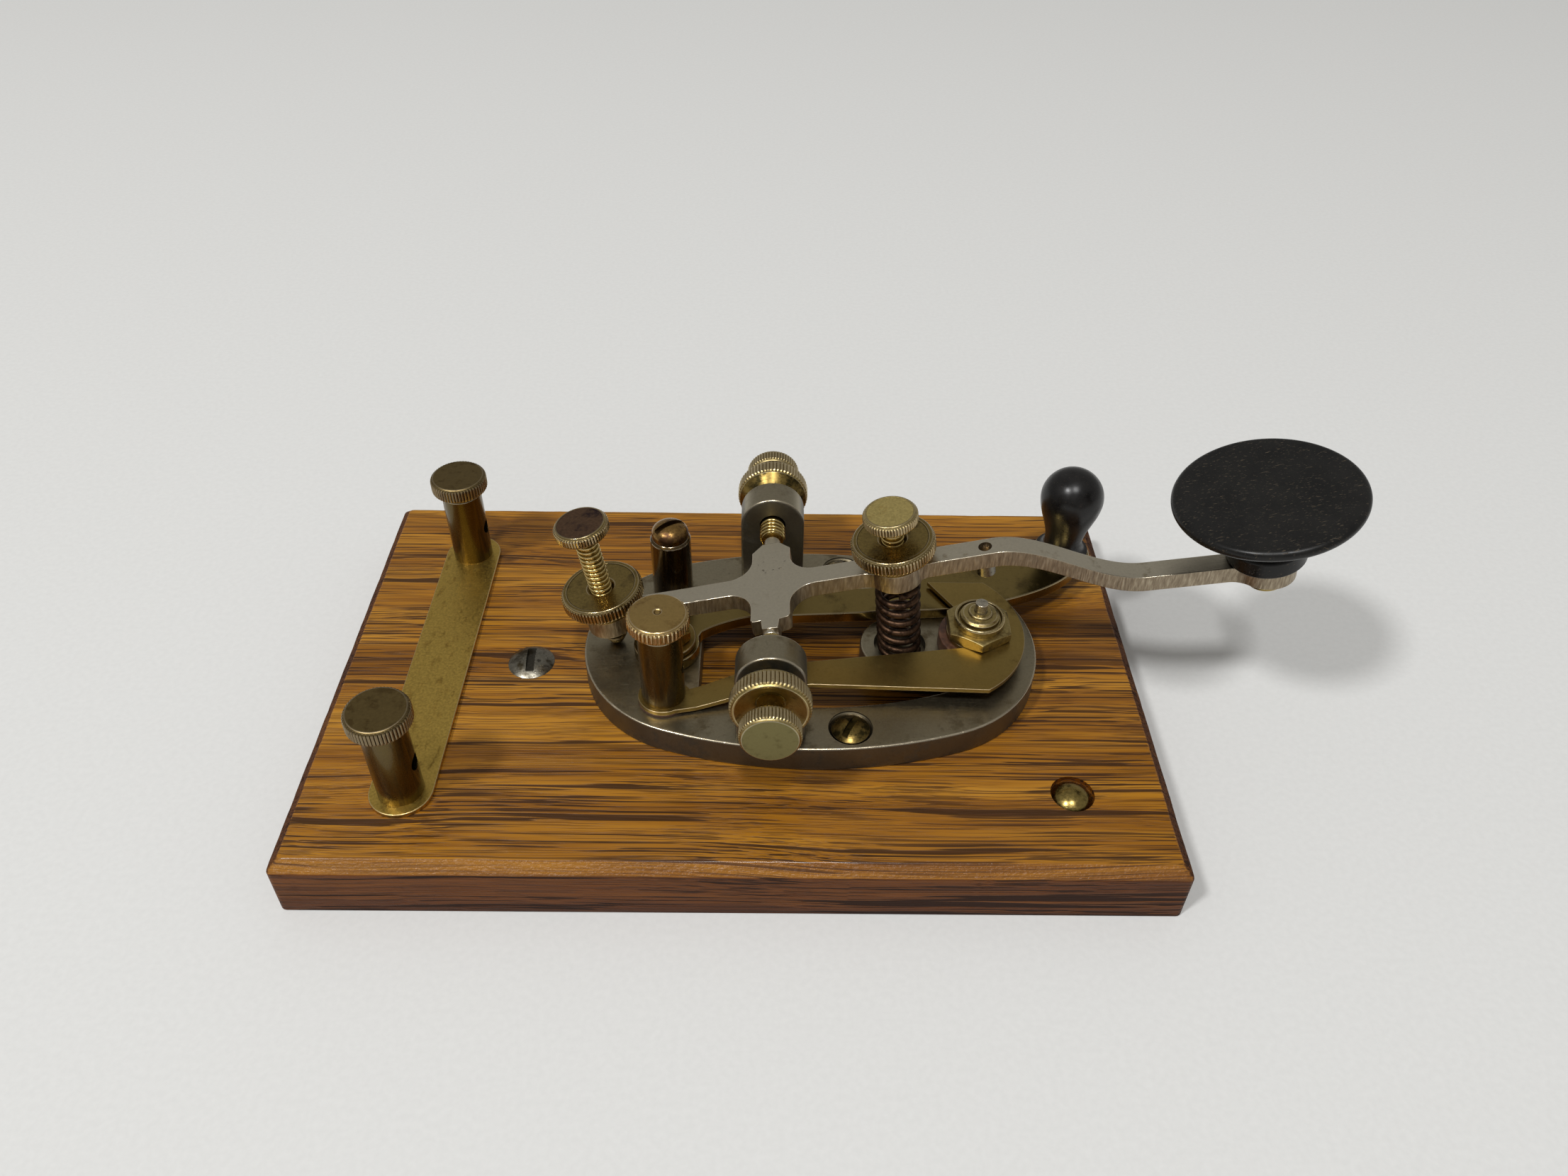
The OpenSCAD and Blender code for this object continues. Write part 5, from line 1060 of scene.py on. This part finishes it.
lever_nickel, tree = new_finish("lever_nickel", 1.0)
flank_at, hub_at = spot_on(tree), (0.0055, 0.0045, 0.0345)
hub_way = lay(tree, "ShaderNodeVectorMath", {0: flank_at, 1: hub_at}, operation="DISTANCE")["Value"]
worn = worn_metal(tree, (206, 197, 176), (158, 145, 120), Share=0.2, Patch=230.0, Scratch=0.3, Bright=0.9,
    Mottle=0.1, Pits=between(hub_way, 0.0015, 0.0045, 1.0, 0.0))
flank = between(abs(way_out(tree)[2]), 0.35, 0.75, 1.0, 0.0)
file_marks = streaks(flank_at, (2400, 1600, 380), 4.0, 0.6)
filed = ramped(file_marks, (0.3, 128, 115, 97), (0.5, 156, 142, 121), (0.7, 188, 175, 152))
dress(mixed(flank, worn["Colour"], filed), worn["Roughness"] + flank * 0.12,
    worn["Relief"] + flank * (file_marks * 1.6), 0.0001)
set_in_place("lever_bar", bar, on_lever, lever_nickel, "lever", "lever", "nickel")

nub_r, nub_low, rivet_r = 1.7, -1.5, 1.15
shoulder = slope * (contact_u - nub_r) - lever_t / 2 - 0.05
rivet_top = slope * (contact_u - rivet_r) + lever_t / 2
rivet = turned([(0, nub_low), (nub_r, nub_low), (nub_r, shoulder), (rivet_r, shoulder),
    (rivet_r, rivet_top - 0.8), (0, rivet_top - 1.1)], 0.15, 40)
at = on_lever @ shift(contact_u)
# Painted shade: the nub under the lever takes the darker steel finish instead of silver, and the rivet's top,
# sunk in its bore, takes the dark lacquer so that the bore reads dark.
piece = set_in_place("contact_rivet", rivet, at, screw_steel, "lever", "lever_contact", "contact_silver")
repaint(piece, at, dark_lacquer, lambda spot: spot.z > shoulder - 0.1)

# The finger knob: moulded hard rubber, black, a collar, a waist and a broad flat top with a rounded rim,
# dulled and finely scratched by use. A screw up through the pad holds it.
collar_r, collar_h, waist_r, knob_r, rim_r, knob_h = 6.75, 3.6, 4.7, 15.875, 1.1, 12.8
rubber, tree = new_finish("worn_hard_rubber", 0.0, specular=0.3)
rubber_at = spot_on(tree)
haze = cloud(rubber_at, 160.0, 5.0, 0.62)
flecks = scratches(rubber_at, (900, 3600, 1500), 2.0, 0.66, 0.72, ((0, 0, 15), (0, 0, -50), (0, 0, 70)))
dust = between(cloud(rubber_at, 1700.0), 0.58, 0.72)
hue = mixed(flecks * 0.35, ramped(haze, (0.3, 10, 10, 10), (0.7, 23, 22, 20)), colour(104, 90, 70))
hue = mixed(dust * 0.12, hue, colour(84, 74, 60))
dress(hue, between(haze, 0.25, 0.75, 0.24, 0.4) + flecks * 0.15, haze - flecks * 0.6, 0.00006)
waist_low, rim_top = collar_h + 0.5, knob_h + rim_r
flare_r, flare_h = knob_r - rim_r - waist_r, knob_h - rim_r - collar_h - 0.5
profile = [(0, 0), (collar_r, 0), (collar_r, collar_h - 0.5), (collar_r - 0.5, collar_h)]
profile += [(waist_r + flare_r * (1 - math.cos(a)), waist_low + flare_h * math.sin(a)) for a in fan(5, 19)]
profile += [tuple(p) for p in arc((knob_r - rim_r, knob_h), rim_r, -75, 90, 14)]
profile += [(knob_r - back, rim_top - sunk)
    for back, sunk in ((2.6, 0.03), (5, 0.14), (9, 0.26), (knob_r, 0.32))]
set_in_place("finger_knob", turned(profile, 0.25, 144), on_lever @ at_pad @ shift(z=pad_up), rubber,
    "lever", "main_knob", "black_rubber")
low, high = -pad_down - 1.8, pad_up + 0.5
screw = turned([(0, low), (3.3, low), (3.3, -pad_down), (1.75, -pad_down), (1.75, high), (0, high)], 0.2, 48)
set_in_place("knob_fixing_screw", slotted(screw, 1.1, 0.9, low, 0), on_lever @ at_pad, screw_brass,
    "lever", "knob_screw", "bright_brass")

# The two adjusting screws: brass, threaded through the lever's bosses and turned by knurled heads. The
# tail one sets the gap, the other the spring's tension, and each is locked by a knurled nut on its boss.
adjust_r, adjust_head_t, nut_rim_r, nut_hub_r, nut_hub, nut_rim = 2.1, 2.4, 7.5, 5.0, 2.1, 3.0
tail_top, boss_top = slope * tail_u + boss_half, slope * spring_u + boss_half
purple_brass = metal_finish("purple_brass", (120, 92, 70), (58, 42, 44), Share=0.6, Sheen=0.24,
    Scratch=0.3, Pits=0.4)
olive_brass = metal_finish("olive_brass", (150, 128, 74), (98, 82, 48), Share=0.45, Patch=160.0,
    Sheen=0.28, Pits=0.25)
yellow_brass = metal_finish("yellow_brass", (238, 214, 136), (204, 176, 102), Share=0.35,
    Sheen=0.24, Pits=0.3)


def adjusting_screw(low, head, r, round_tip):
    core, top = adjust_r - thread_depth, head + adjust_head_t
    foot = [tuple(p) for p in arc((0, low), 1.7, -90, 0, 8)] if round_tip else [(0, low), (core, low)]
    foot[0] = (0, foot[0][1])
    return turned(foot + [(core, low + 0.3), (core, head), (r - 0.5, head), (r - 0.26, head + 0.3),
        (r - 0.26, top - 0.3), (r - 0.5, top), (r - 0.7, top), (r - 0.8, top - 0.06),
        (0, top - 0.06)], 0.12, 84)


def lock_nut():
    r, top, bore = nut_rim_r, nut_hub + nut_rim, adjust_r + 0.05
    return turned([(bore, 0), (nut_hub_r, 0), (nut_hub_r, nut_hub), (r - 0.5, nut_hub),
        (r - 0.26, nut_hub + 0.3), (r - 0.26, top - 0.3), (r - 0.5, top), (r - 1.1, top),
        (r - 1.25, top - 0.12), (adjust_r + 0.5, top - 0.12), (bore, top - 0.5)], 0.14, 108)


for word, u, low, head, head_r, foot_z, tint, rim, round_tip in (
        ("gap", tail_u, -7.19, 17.45, 4.9, tail_top, purple_brass, olive_brass, True),
        ("spring", spring_u, boss_top - 4.0, 12.19, 4.85, boss_top, yellow_brass, coarse_brass, False)):
    at, face = on_lever @ shift(u), head + adjust_head_t - 0.2
    screw = adjusting_screw(low, head, head_r, round_tip)
    piece = set_in_place(word + "_adjusting_screw", screw, at, thread_brass,
        word + "_screw_body", word + "_screw", "bright_brass",
        thread_on(thread_brass, adjust_r, low + 0.2, head - 0.1),
        knurl_on(thread_brass, head_r, head + 0.3, head + adjust_head_t - 0.3, 56, 0.26))
    repaint(piece, at, rim, lambda spot: spot.z > head - 0.1)
    # Painted shade under the lever: below the boss, the screw's thread and tip take the darker dull brass.
    repaint(piece, at, dull_brass, lambda spot: spot.z < foot_z - 2 * boss_half)
    repaint(piece, at, tint, lambda spot: spot.z > face and spot.xy.length < head_r - 0.72)
    set_in_place(word + "_lock_nut", lock_nut(), at @ shift(z=foot_z + 0.05), olive_brass,
        word + "_nut_body", word + "_nut", "old_brass",
        knurl_on(olive_brass, nut_rim_r, nut_hub + 0.3, nut_hub + nut_rim - 0.3, 72, 0.26))

# The return spring: steel wire wound in just over seven turns, brown with rust, standing in a seat in the
# tongue and pressed down by a small brass cap under the lever's boss.
coil_r, wire_r, coil_turns, cap_t = 3.5, 0.65, 7.25, 1.0
lean = math.radians(lever_rest)
cap_low = slope * spring_u - boss_half - 1.05
top_w = cap_low - 0.1 - wire_r
foot = Vector((seat_x, 0, frame_top - seat_depth + 0.1 + wire_r))
top = Vector((spring_u * math.cos(lean) - top_w * math.sin(lean), 0,
    pivot_z + spring_u * math.sin(lean) + top_w * math.cos(lean)))
rusty = metal_finish("rusty_wire", (90, 68, 52), (48, 35, 27), Share=0.6, Patch=700.0, Sheen=0.45,
    Scratch=0.3, Pits=0.8)
given = new_growth("wound_spring", "Coil", "Wire", "Turns", "Height", "Lean")
wound = helix(48, given["Turns"], given["Coil"], given["Height"])
place = place_in(given.tree)
share = place[2] / given["Height"]
leaning = as_way(X=share * given["Lean"], Z=place[0] * share * math.sin(lean))
wound = lay(given.tree, "GeometryNodeSetPosition", {"Geometry": wound, "Offset": leaning})
wire = lay(given.tree, "GeometryNodeSetShadeSmooth", {0: drawn_along(wound, 16, given["Wire"])})
coil = made_real(wire, given)
sizes = {"Coil": coil_r, "Wire": wire_r, "Turns": coil_turns, "Height": top.z - foot.z,
    "Lean": top.x - foot.x, "Finish": rusty}
spring = set_in_place("return_spring_coil", bmesh.new(), on_key @ Matrix.Translation(foot), rusty,
    "base", "return_spring", "spring_steel", (coil, sizes))
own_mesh(spring)
cap = sleeve(0, 3.7, 0, cap_t, 0.25, 64)
set_in_place("spring_cap_disc", cap, on_lever @ shift(spring_u, 0, cap_low), olive_brass,
    "lever", "spring_cap", "old_brass")

# The table and the light: a pale floor, two soft lamps over the front of the key as in a small studio,
# and the camera at the photograph's height and angle.
floor_half, lamp_d, lamp_away, focal, photo_w, sensor_w = 3, 0.3, 2.5, 1658.3, 2212, 36.0
pitch, yaw, roll, eye = 41.62, 0.69, 1.01, Vector((6.37, -160.16, 173.39))
sheet = bpy.data.meshes.new("pale_floor")
corners = [(x * floor_half, y * floor_half, 0) for x, y in ((-1, -1), (1, -1), (1, 1), (-1, 1))]
sheet.from_pydata(corners, [], [range(4)])
paper, tree = new_finish("pale_paper", 0.0)
fibres = cloud(spot_on(tree), 900.0, 2.0)
tint = ramped(fibres, (0.3, 222, 222, 220), (0.7, 226, 226, 224))
dress(tint, between(fibres, 0.2, 0.8, 0.7, 0.8), fibres, 0.00002, 0.1)
sheet.materials.append(paper)
floor = stood("pale_floor", sheet)
for word, way, power in (
        ("lamp_left", (-0.448, -0.357, 0.819), 26.0), ("lamp_front", (0.011, -0.394, 0.919), 22.0)):
    lamp = bpy.data.lights.new(word, "AREA")
    lamp.shape, lamp.size, lamp.energy = "DISK", lamp_d, power
    facing = Vector(way).to_track_quat("Z", "Y").to_matrix().to_4x4()
    stood(word, lamp).matrix_world = Matrix.Translation(Vector(way) * lamp_away) @ facing
room = bpy.data.worlds.new("pale_room")
room.use_nodes = True
room.node_tree.nodes["Background"].inputs["Color"].default_value = (1.0, 0.985, 0.95, 1.0)
room.node_tree.nodes["Background"].inputs["Strength"].default_value = 0.3
bpy.context.scene.world = room
lens = bpy.data.cameras.new("camera")
lens.sensor_width, lens.lens = sensor_w, sensor_w * focal / photo_w
camera = stood("camera", lens)
camera.matrix_world = Matrix.Translation(eye * MM) @ spun("Z", -yaw) @ spun("X", 90 - pitch) @ spun("Z", roll)
bpy.context.scene.camera = camera
bpy.context.scene.view_settings.view_transform = "Standard"
